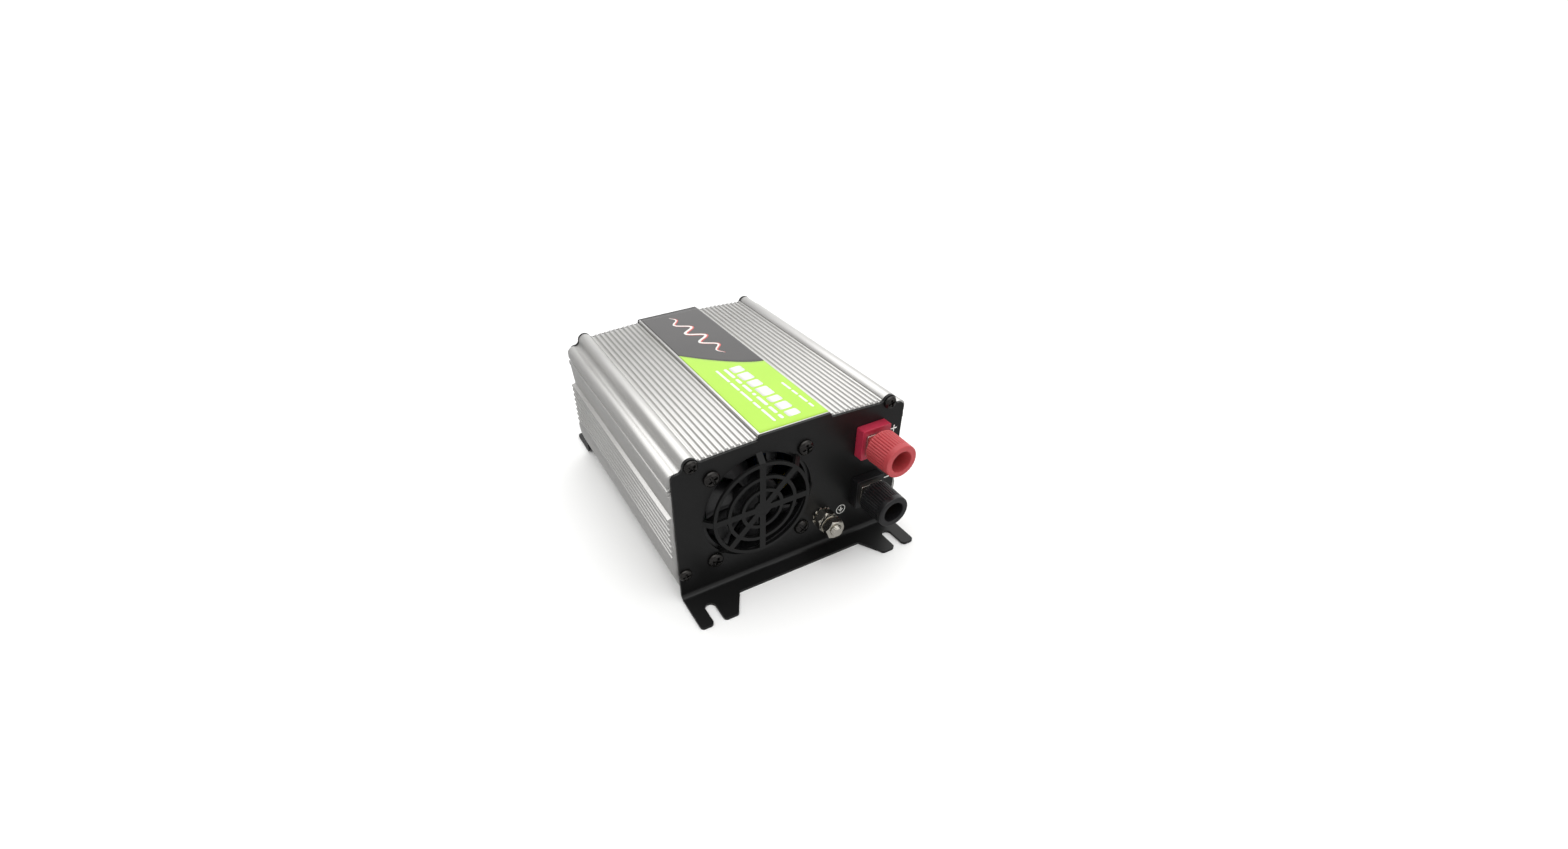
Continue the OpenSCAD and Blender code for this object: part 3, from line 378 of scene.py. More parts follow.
# %% The outline of the case
half = high("bottom_shell")[0]  # half of the case's width
top_z = high("top_shell")[2]  # top of the label band
case_z = low("bottom_shell")[2]  # underside
seam_z = high("bottom_shell")[2]  # where the shells meet
wall = 2.2
side_wall = 3.4
crown = 2.0  # how far the top drops from its middle to the ears
valley_z = top_z - 2.0
band = 19.6  # half of the label band's width
rib_pitch, rib_height, rib_count = 2.93, 1.1, 11
ear = np.array([half - 12.7, top_z - 4.4])
ear_r = 3.8
bead = np.array([half - 4.8, top_z - 10.2])
bead_r = 3.6
cove_r = 2.5


def top_at(x):
    """The crowned top's height: its valleys drop with the square of the distance from the middle."""
    return valley_z - crown * (x / ear[0]) ** 2


def between(first, first_r, second, second_r, radius):
    """The centre of a circle that touches two others from outside, by the law of cosines."""
    gap = second - first
    d, a, b = np.linalg.norm(gap), first_r + radius, second_r + radius
    along = (a * a - b * b + d * d) / (2 * d)
    unit = gap / d
    return first + along * unit + np.sqrt(a * a - along**2) * np.array([unit[1], -unit[0]])


def angle_to(origin, target):
    """The direction from one point to another, in degrees."""
    return np.degrees(np.arctan2(target[1] - origin[1], target[0] - origin[0]))


def ribs(centres, flank, bases, height):
    """Corners of a row of ribs. Each has two feet and two crests, eased by rounded() later."""
    shape = np.array([[flank, 0], [0.62, 1], [-0.62, 1], [-flank, 0]])
    return np.stack([centres[:, None] + shape[None, :, 0],
                     bases(centres)[:, None] + height * shape[None, :, 1]], -1).reshape(-1, 2)


def loop(right_outside, right_inside):
    """A closed outline: the right outside up to the middle, its mirror image down the left, and the
    inside back again."""
    mirror = np.array([-1, 1])
    return np.concatenate([right_outside, right_outside[::-1] * mirror,
                           right_inside * mirror, right_inside[::-1]])


cove = between(bead, bead_r, ear, ear_r, cove_r)
rib_x = band + 1.3 + rib_pitch * np.arange(rib_count)[::-1]
shoulder = np.concatenate([
    arc(bead, bead_r, 0, angle_to(bead, cove), 16),
    arc(cove, cove_r, angle_to(cove, bead) + 360, angle_to(cove, ear) + 360, 12)[1:-1],
    arc(ear, ear_r, angle_to(ear, cove), 150, 22)])
outer_grooves = np.array([[half - 1, seam_z + 0.1], [half - 1, seam_z + 1.2], [half - 2.4, seam_z + 1.5],
                          [half - 2.4, seam_z + 2.2], [bead[0] + bead_r, seam_z + 2.8]])
band_edge = np.array([[band, top_at(band)], [band, top_z]])
inner_x = half - 1 - side_wall
lip_x = inner_x - 0.15
top_inside = np.array([[lip_x, seam_z + 0.1], [lip_x, seam_z - 4], [lip_x - 1.3, seam_z - 4],
                       [lip_x - 1.3, seam_z + 3.5], [bead[0] - 2.5, bead[1] - 1.5],
                       [ear[0] + 3.5, ear[1] - 6], [ear[0] - 4.5, ear[1] - 5.6],
                       [ear[0] - 7.5, top_at(ear[0]) - wall], [band, valley_z - wall]])
top_corners = loop(np.concatenate([outer_grooves, shoulder, ribs(rib_x, 0.98, top_at, rib_height),
                                   band_edge]), top_inside)
top_outline = rounded(top_corners, 0.42)

side_ribs = 28.2 + 3.47 * np.arange(7)
ledge_z = side_ribs[-1] + 3.4
side_shape = np.array([[1, -1.12], [0, -0.72], [0, 0.72], [1, 1.12]])
side_rows = np.stack([half - side_shape[None, :, 0] + 0 * side_ribs[:, None],
                      side_ribs[:, None] + side_shape[None, :, 1]], -1).reshape(-1, 2)
lower_corners = loop(
    np.concatenate([arc((half - 8.3, case_z + 3.9), 3.9, -90, -10, 12), arc((half - 40, 24), 40, -24, 0, 14),
                    side_rows, [[half - 1, ledge_z - 1.6], [half, ledge_z - 1.3], [half, ledge_z],
                                [half - 2.4, ledge_z + 0.6], [half - 1.5, seam_z - 2.5],
                                [half - 2.4, seam_z - 2.2], [half - 2.4, seam_z - 1.5],
                                [half - 1, seam_z - 1.2], [half - 1, seam_z]]])[::-1],
    np.array([[inner_x, seam_z], [inner_x, 26], [inner_x - 1.8, case_z + 10],
              [inner_x - 7.6, case_z + wall]]))
print(len(top_outline), "points round the top shell")


# %% [markdown]
# The saw leaves a crisp edge, so the outline is carried along Y on four rings: the first and last
# are drawn in by 0.15 mm, which rounds the sawn ends a little. A long straight run needs no more.


# %% Carrying an outline along the case
def extruded(outline, first, last, edge=0.15):
    """Rings of an outline in X and Z at four places along Y. The outer two are moved inwards along
    the outline's normals, which are its tangents turned by a right angle."""
    tangent = np.roll(outline, -1, 0) - np.roll(outline, 1, 0)
    tangent /= np.maximum(np.linalg.norm(tangent, axis=1, keepdims=True), 1e-9)
    area = np.sum(outline[:, 0] * np.roll(outline[:, 1], -1) - outline[:, 1] * np.roll(outline[:, 0], -1))
    inward = np.stack([-tangent[:, 1], tangent[:, 0]], -1) * np.sign(area)
    along = [(first, edge), (first + edge, 0), (last - edge, 0), (last, edge)]
    rings = [np.insert(outline + inward * drawn_in, 1, y, axis=1) for y, drawn_in in along]
    return np.stack(rings) * MM


def in_place(points):
    """Points that are already in the frame's metres."""
    return points


case_ends = (low("top_shell")[1], high("top_shell")[1])
repeated("ribbed_top_shell", extruded(top_outline, *case_ends), [in_place], True, False, True,
         aluminium, "anodised_aluminium", replaces=["top_shell"], crease=50)
repeated("ribbed_bottom_shell", extruded(rounded(lower_corners, 0.42), *case_ends), [in_place], True,
         False, True, aluminium, "anodised_aluminium", replaces=["bottom_shell"], crease=50)

# %% [markdown]
# ## The printed label
# A polyester film lies on the flat band. Its rear part is charcoal and its front part lime, and they
# meet on a curve that sweeps back towards the left. Each part is a grid whose rows are stretched
# between its end of the film and the curve. The print is generic: a wave and plain bars.

# %% Two films that meet on a curve
film_x = (low("label")[0], high("label")[0])
film_y = (low("label")[1], high("label")[1])
film_z = high("label")[2] - 0.16
film_t = 0.18


def curve_y(x):
    """Where the colours meet: 62 mm behind the plate at the right edge, and further back to the left
    with the power 1.5 of the distance from it."""
    return front_y + 62.3 + 27.2 * ((film_x[1] - x) / 36.1) ** 1.5


def film(name, material, near, far):
    """A film between two curves of x: its rows share out the way from the near one to the far one."""
    x = np.linspace(*film_x, 49)[None, :]
    share = np.linspace(0, 1, 25)[:, None]
    y = near(x) + (far(x) - near(x)) * share
    points = np.stack([x + 0 * share, y, film_z + 0 * y], -1) * MM
    obj = piece(name, points, grid_faces(25, 49), material, "printed_label", replaces=["label"])
    thick = obj.modifiers.new("Film thickness", "SOLIDIFY")
    thick.thickness = film_t * MM
    thick.offset = 0.0
    return obj


film("lime_film", lime_film, lambda x: film_y[0] + 0 * x, curve_y)
film("charcoal_film", grey_film, curve_y, lambda x: film_y[1] + 0 * x)

# %% [markdown]
# Print is a very thin raised layer. A ribbon follows a path on the film, and its half width swells
# and tapers along it, so one function draws both the bars and the wave.


# %% Ribbons of ink
def ribbon(path, half_width):
    """Two edges on either side of a path: path plus and minus its normal times the half width."""
    tangent = np.gradient(path, axis=0)
    tangent /= np.linalg.norm(tangent, axis=1, keepdims=True)
    normal = np.stack([-tangent[:, 1], tangent[:, 0]], -1) * np.reshape(half_width, (-1, 1))
    return np.stack([path - normal, path, path + normal], 1)


def ink(name, strips, height, thickness, material):
    """Flat strips of ink on the film, in one piece, with a thin wall from Solidify."""
    points, faces, start = [], [], 0
    for strip in strips:
        rows, columns = strip.shape[:2]
        points.append(np.concatenate([strip, np.full((rows, columns, 1), height)], -1).reshape(-1, 3))
        faces += grid_faces(rows, columns, start=start)
        start += rows * columns
    obj = piece(name, np.concatenate(points) * MM, faces, material, "printed_label")
    thick = obj.modifiers.new("Ink thickness", "SOLIDIFY")
    thick.thickness = thickness * MM
    thick.offset = 0.0
    return obj


def bar(start, end, width, steps=12):
    """A straight bar with rounded corners: at each end its half width grows along a quarter circle,
    whose radius is 1.1 mm or half the width."""
    start, end = np.array(start, float), np.array(end, float)
    length = np.linalg.norm(end - start)
    radius = min(width / 2, 1.1)
    t = np.linspace(0, np.pi / 2, steps)
    inset = radius * (1 - np.cos(t))
    growth = width / 2 - radius * (1 - np.sin(t))
    run = np.concatenate([inset, length - inset[::-1]])
    swell = np.concatenate([growth, growth[::-1]])
    path = start + (end - start) * (run / length)[:, None]
    return ribbon(path, np.maximum(swell, 0.01))


def broken_line(start, end, width, lengths, gap=1.6):
    """A line of bars of different lengths, in shares of the whole, with gaps between them."""
    start, end = np.array(start, float), np.array(end, float)
    shares = np.array(lengths) / np.sum(lengths)
    stops = np.concatenate([[0], np.cumsum(shares)])
    room = gap / np.linalg.norm(end - start)
    return [bar(start + (end - start) * a, start + (end - start) * (b - room), width)
            for a, b in zip(stops[:-1], stops[1:])]


ink_z = film_z + film_t / 2 + 0.015
on_film = lambda x, y: (x, front_y + y)
white_lines = (
    broken_line(on_film(1.6, 64), on_film(4.0, 5.5), 7.0, (7, 8, 7, 9, 6, 7, 6), 1.7)
    + broken_line(on_film(-4.0, 64), on_film(-2.6, 6), 1.9, (9, 5, 7, 3, 8, 6, 4), 1.5)
    + broken_line(on_film(-8.4, 65), on_film(-7.0, 6), 1.5, (14, 9, 11, 7, 12), 1.2)
    + broken_line(on_film(14.6, 37), on_film(15.4, 8), 1.4, (9, 6, 8, 5), 1.1))
ink("white_print", white_lines, ink_z, 0.03, white_ink)

wave_run = np.linspace(0, 1, 161)
wave_y = front_y + 140 - 58 * wave_run
wave_swing = 4.2 * np.sin(np.pi * wave_run) ** 0.5 * np.sin(2 * np.pi * 4 * wave_run)
wave = np.stack([-2.6 + 8.0 * wave_run + wave_swing, wave_y], -1)
taper = np.sin(np.pi * np.clip(wave_run, 0.012, 0.988)) ** 0.5
ink("wave_shadow", [ribbon(wave + np.array([0.45, -0.35]), 1.15 * taper)], ink_z, 0.03, red_ink)
ink("wave_print", [ribbon(wave, 0.8 * taper)], ink_z + 0.03, 0.03, white_ink)

# %% [markdown]
# ## Pan-head screws
# The head is a low dome of revolution, and the driver's cross is pressed into it. Both are one
# formula: the height of the dome less the depth of the cross, on a grid of rings. The rings run on
# under the head and down the shank, so that each screw is a closed solid.


# %% Screws
def pan_screw(head_r, head_h, shank_r, length, turn):
    """Dome: out = head_h times (0.22 + 0.78 sin a) at radius head_r times cos a to the power 0.72.
    Cross: a soft-sided plus sign, deepest in the middle, taken off the dome."""
    a = np.linspace(np.pi / 2, 0, 40)
    radius = head_r * np.cos(a) ** 0.72
    dome = head_h * (0.22 + 0.78 * np.sin(a))
    grid = lathe(np.stack([radius, dome], -1), 96)
    right, up = grid[..., 0], grid[..., 1]
    far = np.hypot(right, up) / head_r
    arm = 0.15 * head_r * (1.15 - 0.5 * far)
    reach, soft = 0.60 * head_r, 0.06 * head_r
    within = lambda edge, distance: np.clip((edge - np.abs(distance)) / soft + 0.5, 0, 1)
    across = within(arm, up) * within(reach, right)
    upright = within(arm, right) * within(reach, up)
    grid[..., 2] -= head_h * (0.62 - 0.25 * far) * np.maximum(across, upright)
    under = lathe([(head_r, 0), (shank_r, 0), (shank_r, -length + 0.5), (shank_r - 0.5, -length)], 96)
    return turned(np.concatenate([grid, under, under[-1:] * np.array([0, 0, 1])]), turn)


def screws(name, node, spots, facing, head_r, head_h, shank_r, length, turns):
    """A screw at each spot (right, up), each with its cross turned its own way."""
    places = [lambda grid, p=spot, t=turn: facing(turned(grid, t) + np.array([*p, 0]))
              for spot, turn in zip(spots, turns)]
    repeated(name, pan_screw(head_r, head_h, shank_r, length, 0), places, True, False, False,
             black_zinc, "black_screws", replaces=[node], crease=60)


fan_x, fan_z = middle("fan_rotor")[[0, 2]]
case_head_r = 3.4
case_screw_length = 12
fan_head_r = 4.2
fan_pitch = high("fan_screws")[0] - low("fan_screws")[0] - 2 * fan_head_r
corners = np.array([(i, j) for j in (1, -1) for i in (-1, 1)])
screws("fan_screw_heads", "fan_screws", corners * fan_pitch / 2 + np.array([fan_x, fan_z]), on_front,
       fan_head_r, 2.6, 1.95, high("fan_screws")[1] - front_y, (28, 12, -20, 38))
low_spot = np.array([half - 5.9, 16.4])  # the lower right screw, seen from the DC end
case_spots = [ear * (-1, 1), ear, low_spot * (-1, 1), low_spot]
for end, facing, turns in (("front", on_front, (40, 15, 8, 30)), ("rear", on_rear, (5, 33, 21, -14))):
    screws(end + "_case_screw_heads", end + "_case_screws", case_spots, facing, case_head_r, 2.2, 1.7,
           case_screw_length, turns)

# %% [markdown]
# ## The terminal caps
# Each cap has a short neck and a grip that narrows slightly on its way out. Fine flutes run along the
# grip and stop short of a plain rim. A cap is a closed ring of rows: the neck, the fluted grip, the
# rim, the wide mouth, the pocket for its brass insert and the bore.

# %% Fluted caps
cap_length = high("red_cap")[1] - low("red_cap")[1]
neck_r, neck_length = 6.2, 2.4
cap_inner_r, cap_outer_r, mouth_r = 9.2, 8.8, 5.7
insert_r, insert_first, insert_last, bore_r = 5.0, 1.5, 7.5, 3.35
flutes = 38
flute_depth = 0.42


def cap_radius(radius, angle, out):
    """The grip's radius less the flutes. A flute is narrow, so its depth follows the cosine of the
    flute's angle to the fourth power, and it fades near both ends of the grip."""
    start = out - cap_floor - neck_length
    fade = np.clip((start - 0.3) / 0.8, 0, 1) * np.clip((cap_length - neck_length - 2.6 - start) / 1.2, 0, 1)
    valley = np.cos(flutes * angle / 2) ** 4
    return radius - np.where(radius > 0.5 * (neck_r + cap_outer_r), flute_depth * fade * valley, 0)


def cap_profile(start):
    """The cap's section from its inner end, up the outside, over the rim and down the inside."""
    heights = np.linspace(neck_length + 0.6, cap_length - 0.9, 34)
    grip = np.stack([np.linspace(cap_inner_r, cap_outer_r, 34), heights], -1)
    neck = [(neck_r, 0), (neck_r, neck_length)]
    shoulder = arc((cap_inner_r - 0.6, neck_length + 0.6), 0.6, -90, -10, 6)
    rim = arc((cap_outer_r - 0.75, cap_length - 0.75), 0.75, 5, 90, 7)
    lip = arc((mouth_r + 0.45, cap_length - 0.45), 0.45, 90, 180, 5)
    inside = [(mouth_r, 12), (mouth_r, insert_last), (insert_r, insert_last), (insert_r, insert_first),
              (bore_r, insert_first), (bore_r, 0)]
    return np.concatenate([neck, shoulder, grip, rim, lip, inside]) + np.array([0, start])


cap_floor = front_y - high("red_cap")[1]
for colour_name, material in (("red", red_nylon), ("black", black_nylon)):
    x, z = middle(colour_name + "_cap")[[0, 2]]
    spot = lambda grid, x=x, z=z: on_front(grid + np.array([x, z, 0]))
    cap = colour_name + "_cap"
    repeated(colour_name + "_fluted_cap", lathe(cap_profile(cap_floor), 380, cap_radius), [spot], True, True,
             False, material, colour_name + "_plastic", body=cap, replaces=[cap], crease=40)

# %% [markdown]
# ## Threads
# A thread is a ridge that climbs one pitch in each turn. On a grid of rows along the stud and columns
# round it, the radius is a triangle wave of (out / pitch + angle / full turn), which is exactly that.


# %% Threaded studs
def threaded(radius, pitch, first, last, columns=48, per_turn=10):
    """A threaded rod from first to last, with chamfered ends that meet in a point at the middle."""
    out = np.arange(first, last, pitch / per_turn)[:, None]
    angle = np.linspace(0, 2 * np.pi, columns, endpoint=False)[None, :]
    climb = (out / pitch + angle / (2 * np.pi)) % 1
    ridge = radius - 0.55 * pitch * np.abs(2 * climb - 1)
    chamfer = radius - 0.75 + np.minimum(np.minimum(out - first, last - out), 0.75)
    ridge = np.minimum(ridge, chamfer)
    body = np.stack([ridge * np.cos(angle), ridge * np.sin(angle), out + 0 * angle], -1)
    axis = np.array([0, 0, 1])
    return np.concatenate([body[:1] * axis, body, body[-1:] * axis])


def stud(name, node, material, slot, pitch):
    """A threaded rod in the place of a CAD node that is a plain one."""
    x, z = middle(node)[[0, 2]]
    radius = (high(node)[0] - low(node)[0]) / 2
    rod = threaded(radius, pitch, front_y - high(node)[1], front_y - low(node)[1])
    repeated(name, rod, [lambda grid: on_front(grid + np.array([x, z, 0]))], True, False, False,
             material, slot, replaces=[node], crease=25)


m6_pitch = 1.0
stud("red_threaded_stud", "red_terminal_stud", brass, "brass", m6_pitch)
stud("black_threaded_stud", "black_terminal_stud", brass, "brass", m6_pitch)
stud("earth_threaded_stud", "ground_stud", nickel, "nickel_plate", m6_pitch)

# %% [markdown]
# ## Nuts and star washers on the earth stud
# A nut is a hexagon whose corners are turned off by a cone at each face, so its radius is the smaller
# of the hexagon's and the cone's. A star washer is a thin ring whose teeth are twisted out of flat,
# which is what bites through the paint to reach bare metal.


# %% Nuts and washers
def nut(across_flats, bore, first, last, chamfer=0.8):
    """A hexagonal nut from first to last. Hexagon: radius = flats / 2 / cos(angle from a flat)."""
    corner = across_flats / 2 / np.cos(np.pi / 6)
    round_r = across_flats / 2 * 0.96

    def hexagon(radius, angle, out):
        from_flat = (angle + np.pi / 6) % (np.pi / 3) - np.pi / 6
        flat = across_flats / 2 / np.cos(from_flat)
        return np.where(radius > bore + 0.6, np.minimum(flat, radius), radius + 0 * angle)

    rise = np.linspace(0, chamfer, 14)
    cone = round_r + (corner - round_r) * rise / chamfer
    first_face = np.stack([cone, first + rise], -1)
    last_face = np.stack([cone, last - rise], -1)[::-1]
    hole = [(bore + 0.35, last), (bore, last - 0.35), (bore, first + 0.35), (bore + 0.35, first)]
    return lathe(np.concatenate([first_face, last_face, hole]), 360, hexagon)


def star_washer(bore, outer, first, last, teeth=12, twist=0.32):
    """A ring with outside teeth. A tooth fills 60% of its pitch, and out is shifted by a sine of the
    tooth's angle, more towards the tip."""
    columns = teeth * 14
    root = outer - 1.15
    middle_out, thick = (first + last) / 2, (last - first) * 0.30
    section = [(bore, thick), (root, thick), (outer - 0.12, thick), (outer, thick - 0.12),
               (outer, 0.12 - thick), (outer - 0.12, -thick), (root, -thick), (bore, -thick)]
    radius, out = np.array(section).T[:, :, None]
    angle = np.linspace(0, 2 * np.pi, columns, endpoint=False)[None, :]
    phase = (teeth * angle / (2 * np.pi)) % 1
    tooth = np.clip((0.30 - np.abs(phase - 0.5)) / 0.05 + 0.5, 0, 1)
    radius = np.where(radius > root + 0.1, root + (radius - root) * tooth, radius)
    share = np.clip((radius - root) / (outer - root), 0, 1)
    out = middle_out + out + twist * share * np.sin(2 * np.pi * (phase - 0.5) * 1.4)
    return np.stack([radius * np.cos(angle), radius * np.sin(angle), out], -1)


earth_x, earth_z = middle("ground_stud")[[0, 2]]
earth_r = (high("ground_stud")[0] - low("ground_stud")[0]) / 2
earth_flats = high("ground_nut")[2] - low("ground_nut")[2]


def earth_piece(name, node, grid, turn=0, body="chassis"):
    """One ring on the earth stud, in place of a CAD node."""
    repeated(name, turned(grid, turn), [lambda g: on_front(g + np.array([earth_x, earth_z, 0]))], True, True,
             False, nickel, "nickel_plate", body=body, replaces=[node], crease=30)


def outs(node):
    """How far a node on the DC end reaches out of the plate, from its nearest point to its farthest."""
    return front_y - high(node)[1], front_y - low(node)[1]


washer_r = (high("ground_star_washer")[0] - low("ground_star_washer")[0]) / 2
loose_first, loose_last = outs("ground_loose_washers")
earth_piece("star_washer_on_plate", "ground_star_washer",
            star_washer(earth_r + 0.05, washer_r, *outs("ground_star_washer")))
earth_piece("fixed_earth_nut", "ground_fixed_nut", nut(earth_flats, earth_r, *outs("ground_fixed_nut")), 8)
earth_piece("loose_star_washer", "ground_loose_washers",
            star_washer(earth_r + 0.05, washer_r, loose_first, loose_first + 1.3), 11, "ground_washers")
flat_r = washer_r - 0.2
flat_washer = lathe([(earth_r + 0.05, loose_first + 1.35), (flat_r - 0.1, loose_first + 1.35),
                     (flat_r, loose_first + 1.45), (flat_r, loose_last - 0.1),
                     (flat_r - 0.1, loose_last), (earth_r + 0.05, loose_last)], 96)
earth_piece("flat_earth_washer", "ground_loose_washers", flat_washer, 0, "ground_washers")
earth_piece("loose_earth_nut", "ground_nut", nut(earth_flats, earth_r + 0.05, *outs("ground_nut")),
            21, "ground_nut")

# %% [markdown]
# ## The fan's rotor
# Seven blades leave a round hub. A blade is a grid of two parameters: s runs from the hub to the tip
# and t round the blade's section. The section is a thin lens bent to an arc, and it turns a little
# flatter towards the tip, as on any moulded axial fan.

# %% Hub and blades
blade_count = 7
hub_r = 13.0
tip_r = min((high("fan_rotor")[0] - low("fan_rotor")[0]) / 2 - 0.1, 27.3)
rotor_back, hub_face = outs("fan_rotor")
hub_back = hub_face - 10
blade_out = (rotor_back + 2.6, hub_face - 0.4)


def blade(number):
    """Section: chord share c from -0.5 to 0.5, camber 1.3 (1 - 4 c^2) mm and half thickness
    0.55 sqrt(1 - 4 c^2) mm. The chord's slope falls from 46 degrees at the hub to 33 at the tip, and
    the blade sweeps forward."""
    s = np.linspace(0, 1, 16)[:, None]
    t = np.linspace(0, 2 * np.pi, 40, endpoint=False)[None, :]
    share = 0.5 * np.cos(t)
    thick = 0.55 * np.sin(t)
    radius = hub_r - 0.6 + (tip_r - hub_r + 0.6) * s
    chord = 13.5 + 3.5 * s
    slope = np.radians(46 - 13 * s)
    camber = 1.3 * (1 - 4 * share**2)
    across = chord * share * np.cos(slope) - (camber + thick) * np.sin(slope)
    out = chord * share * np.sin(slope) + (camber + thick) * np.cos(slope)
    out = np.clip(np.mean(blade_out) + out, *blade_out)
    angle = 2 * np.pi * number / blade_count + across / radius + 0.22 * s
    return np.stack([radius * np.cos(angle), radius * np.sin(angle), out], -1)


fan_spot = lambda grid: on_front(grid + np.array([fan_x, fan_z, 0]))
hub_section = ([(0, hub_face - 0.5), (3.5, hub_face - 0.5), (4.2, hub_face - 0.1)]
               + arc((hub_r - 1.3, hub_face - 1.3), 1.3, 90, 0, 8).tolist()
               + [(hub_r, hub_back), (hub_r - 1.6, hub_back), (hub_r - 1.6, hub_face - 1.6)]
               + [(1.45, hub_face - 1.6), (1.45, rotor_back), (0, rotor_back)])
hub = lathe(hub_section, 120)
blades = np.stack([blade(k) for k in range(blade_count)])
rows, columns = blades.shape[1:3]
rotor_points = np.concatenate([hub.reshape(-1, 3), blades.reshape(-1, 3)])
rotor_faces = grid_faces(*hub.shape[:2], around=True)
for k in range(blade_count):
    first = hub.shape[0] * hub.shape[1] + k * rows * columns
    rotor_faces += grid_faces(rows, columns, True, False, first)
    rotor_faces += [list(range(first, first + columns)),
                    list(range(first + (rows - 1) * columns, first + rows * columns))]
piece("fan_hub_and_blades", fan_spot(rotor_points), rotor_faces, fan_plastic, "black_fan_plastic",
      body="fan_rotor", replaces=["fan_rotor"], crease=40)

# %% [markdown]
# ## Marks on the plates
# A plus, a minus and the earth symbol are printed in white beside the terminals. They are the same
# ribbons as on the label, stood up on the plate.


# %% Printed marks
ink_out = 0.03


def marks(name, strips, spot):
    """Strips of white ink around a spot on the DC end's plate, 0.03 mm thick."""
    points, faces, start = [], [], 0
    for strip in strips:
        rows, columns = strip.shape[:2]
        shifted = np.concatenate([strip + np.array(spot), np.full((rows, columns, 1), ink_out)], -1)
        points.append(on_front(shifted).reshape(-1, 3))
        faces += grid_faces(rows, columns, start=start)
        start += rows * columns
    obj = piece(name, np.concatenate(points), faces, white_ink, "powder_coated_steel")
    thick = obj.modifiers.new("Ink thickness", "SOLIDIFY")
    thick.thickness = 0.03 * MM
    thick.offset = 0.0
    return obj


def circle(radius, width, steps=65):
    """A ring of ink: a ribbon along a circle."""
    return ribbon(arc((0, 0), radius, 0, 360, steps), width / 2)


def line(x0, y0, x1, y1, width=0.5):
    """A straight ribbon of ink."""
    return ribbon(np.linspace((x0, y0), (x1, y1), 5), width / 2)


plus_x = middle("red_cap")[0] + 15.4
marks("plus_mark", [line(-2, 0, 2, 0, 0.7), line(0, -2, 0, -0.35, 0.7), line(0, 0.35, 0, 2, 0.7)],
      (plus_x, middle("red_cap")[2] + 0.4))
marks("minus_mark", [line(-2, 0, 2, 0, 0.7)], (plus_x - 0.6, middle("black_cap")[2] + 0.6))
marks("earth_mark", [circle(2.7, 0.4), line(0, 1.7, 0, 0.2), line(-1.4, 0, 1.4, 0, 0.4),
                     line(-0.95, -0.65, 0.95, -0.65, 0.4), line(-0.45, -1.3, 0.45, -1.3, 0.4)],
      (earth_x + 12.4, earth_z - 0.8))

# %% [markdown]
# ## The indicator lamps
# Each lamp is a coloured lens with a low dome that stands just out of the plate.

# %% Lamps
lamp_r = 1.5
lens = lathe([(lamp_r, -1.5), (lamp_r, 0.5)] + arc((0, 0.8), lamp_r, 0, 90, 12).tolist(), 48)
lens = np.concatenate([lens[:1] * np.array([0, 0, 1]), lens])
for node, material, slot in (("power_lamp", green_lens, "green_lens"), ("fault_lamp", red_lens, "red_lens")):
    x, z = middle(node)[[0, 2]]
    spot = lambda grid, x=x, z=z: on_rear(grid + np.array([-x, z, 0]))
    repeated(node + "_lens", lens, [spot], True, False, False, material, slot, crease=50, replaces=[node])

# %% [markdown]
# ## Floor, light and camera
# A plain pale floor and soft light, as in a product studio. The light comes from the world, which is
# a dome: it is brightest behind and to the right, as a big screen there would be, and again straight
# overhead. The ribs mirror one or the other, which draws their crests. A narrow white band at the
# horizon hides where the floor ends. One weak softbox fills the black end. The floor is kept out of
# mirror images, or else the black finishes would turn grey.

# %% Floor and lights
floor_mesh = bpy.data.meshes.new("studio_floor")
floor_size = 40.0
floor_mesh.from_pydata([(-floor_size, -floor_size, 0), (floor_size, -floor_size, 0),
                        (floor_size, floor_size, 0), (-floor_size, floor_size, 0)], [], [(0, 1, 2, 3)])
studio_floor = bpy.data.objects.new("studio_floor", floor_mesh)
bpy.context.scene.collection.objects.link(studio_floor)
floor_paint, floor_shader, _ = blank("Pale studio floor")
floor_shader.inputs["Base Color"].default_value = colour("#fbfbfa")
floor_shader.inputs["Roughness"].default_value = 0.9
floor_shader.inputs["Specular IOR Level"].default_value = 0.0
floor_mesh.materials.append(floor_paint)
studio_floor.visible_glossy = False

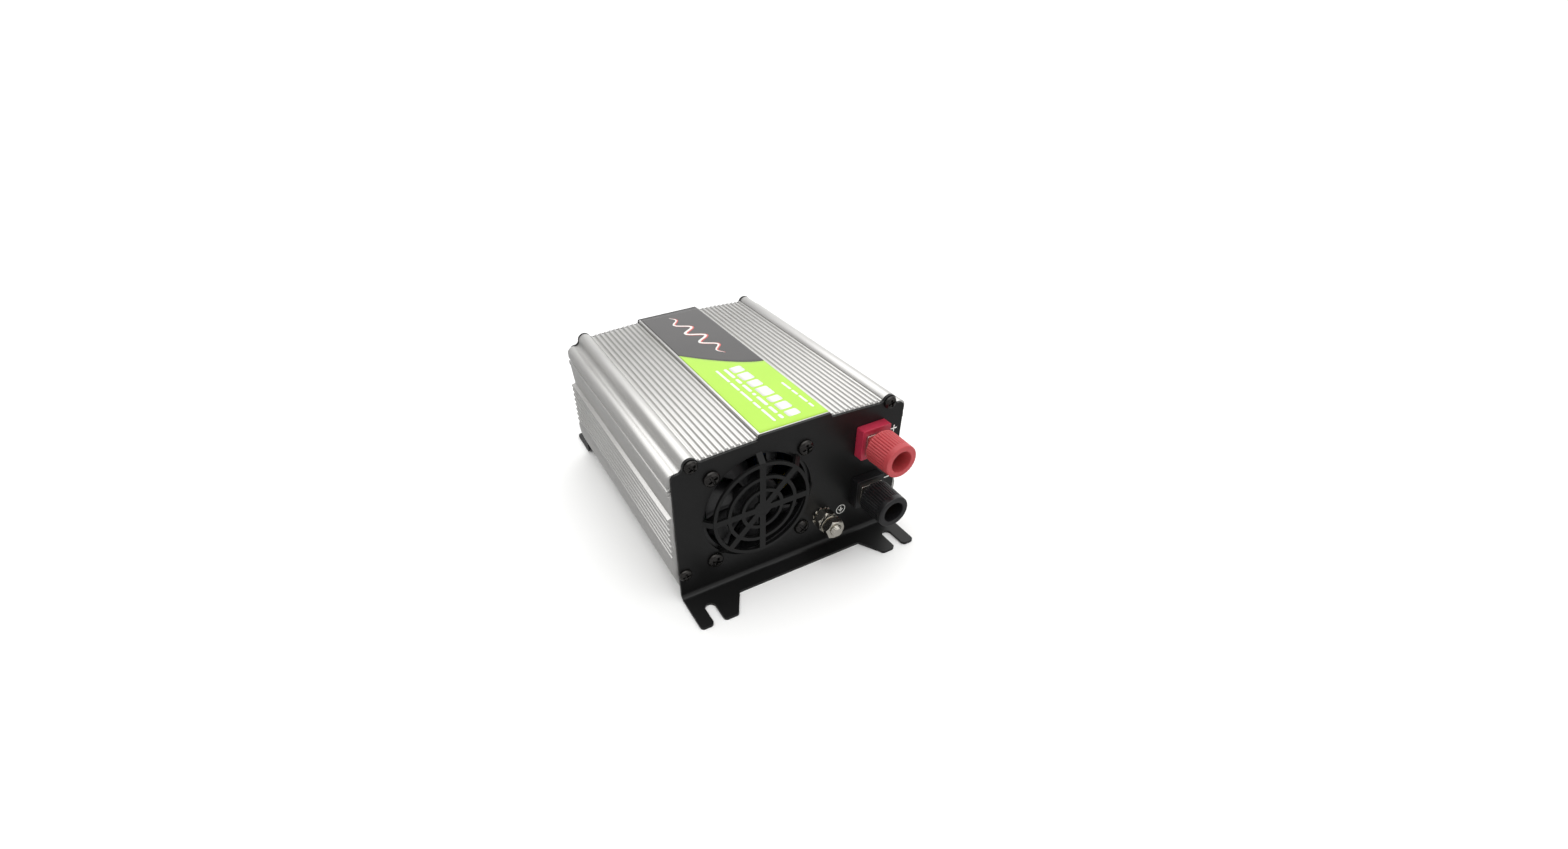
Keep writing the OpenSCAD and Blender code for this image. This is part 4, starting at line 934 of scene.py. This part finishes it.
world = bpy.data.worlds.new("studio")
bpy.context.scene.world = world
world.use_nodes = True
way = add(world, "ShaderNodeTexCoord").outputs["Generated"]
toward = add(world, "ShaderNodeVectorMath", {0: way}, operation="DOT_PRODUCT")
toward.inputs[1].default_value = Vector((0.60, 0.75, 0.30)).normalized()
screen = add(world, "ShaderNodeMapRange", {"Value": toward.outputs["Value"]},
             interpolation_type="SMOOTHSTEP", From_Min=0.35, To_Min=0.44, To_Max=1.16)
height = add(world, "ShaderNodeSeparateXYZ", {"Vector": way}).outputs["Z"]
overhead = add(world, "ShaderNodeMapRange", {"Value": height}, interpolation_type="SMOOTHSTEP",
               From_Min=0.55, To_Max=1.8)
level = add(world, "ShaderNodeMath", {0: height}, operation="ABSOLUTE").outputs["Value"]
skyline = add(world, "ShaderNodeMapRange", {"Value": level}, interpolation_type="SMOOTHSTEP",
              From_Min=0.02, From_Max=0.04, To_Min=1.05, To_Max=0.0)
lamps = add(world, "ShaderNodeMath", {0: screen.outputs["Result"], 1: overhead.outputs["Result"]},
            operation="ADD")
dome = add(world, "ShaderNodeMath", {0: lamps.outputs["Value"], 1: skyline.outputs["Result"]},
           operation="MAXIMUM")
background = world.node_tree.nodes["Background"]
background.inputs["Color"].default_value = colour("#ffffff")
world.node_tree.links.new(dome.outputs["Value"], background.inputs["Strength"])


def softbox(name, place, target, size, watts):
    """A square area lamp at place that points at target, in metres."""
    light = bpy.data.lights.new(name, "AREA")
    light.size = size
    light.energy = watts
    obj = bpy.data.objects.new(name, light)
    bpy.context.scene.collection.objects.link(obj)
    aim = Vector(target) - Vector(place)
    obj.matrix_world = Matrix.Translation(place) @ aim.to_track_quat("-Z", "Y").to_matrix().to_4x4()
    return obj


softbox("fill_light", (0.45, -0.9, 0.40), (0, -0.05, 0.05), 0.8, 1.0)
bpy.context.scene.view_settings.view_transform = "Standard"

# %% [markdown]
# The camera stands close, in front of the DC end and to its left, and looks down by 36 degrees. Its
# axes are built from those angles, and a small roll tips the picture to the left.

# %% Camera
yaw, pitch, roll = np.radians([26.31, -36.32, -2.13])
forward = np.array([np.sin(yaw) * np.cos(pitch), np.cos(yaw) * np.cos(pitch), np.sin(pitch)])
right = np.array([np.cos(yaw), -np.sin(yaw), 0])
up = np.cross(right, forward)
right, up = right * np.cos(roll) + up * np.sin(roll), up * np.cos(roll) - right * np.sin(roll)
camera = bpy.data.objects.new("camera", bpy.data.cameras.new("camera"))
bpy.context.scene.collection.objects.link(camera)
axes = Matrix(np.stack([right, up, -forward], -1).tolist()).to_4x4()
camera_place = np.array([-143.51, front_y - 213.95, 247.69]) * MM
camera.matrix_world = Matrix.Translation(camera_place) @ axes
camera.data.sensor_width = 36
camera.data.lens = 15.155
camera.data.shift_x = 0.0379
camera.data.shift_y = 0.0278
camera.data.clip_start = 0.01
bpy.context.scene.camera = camera
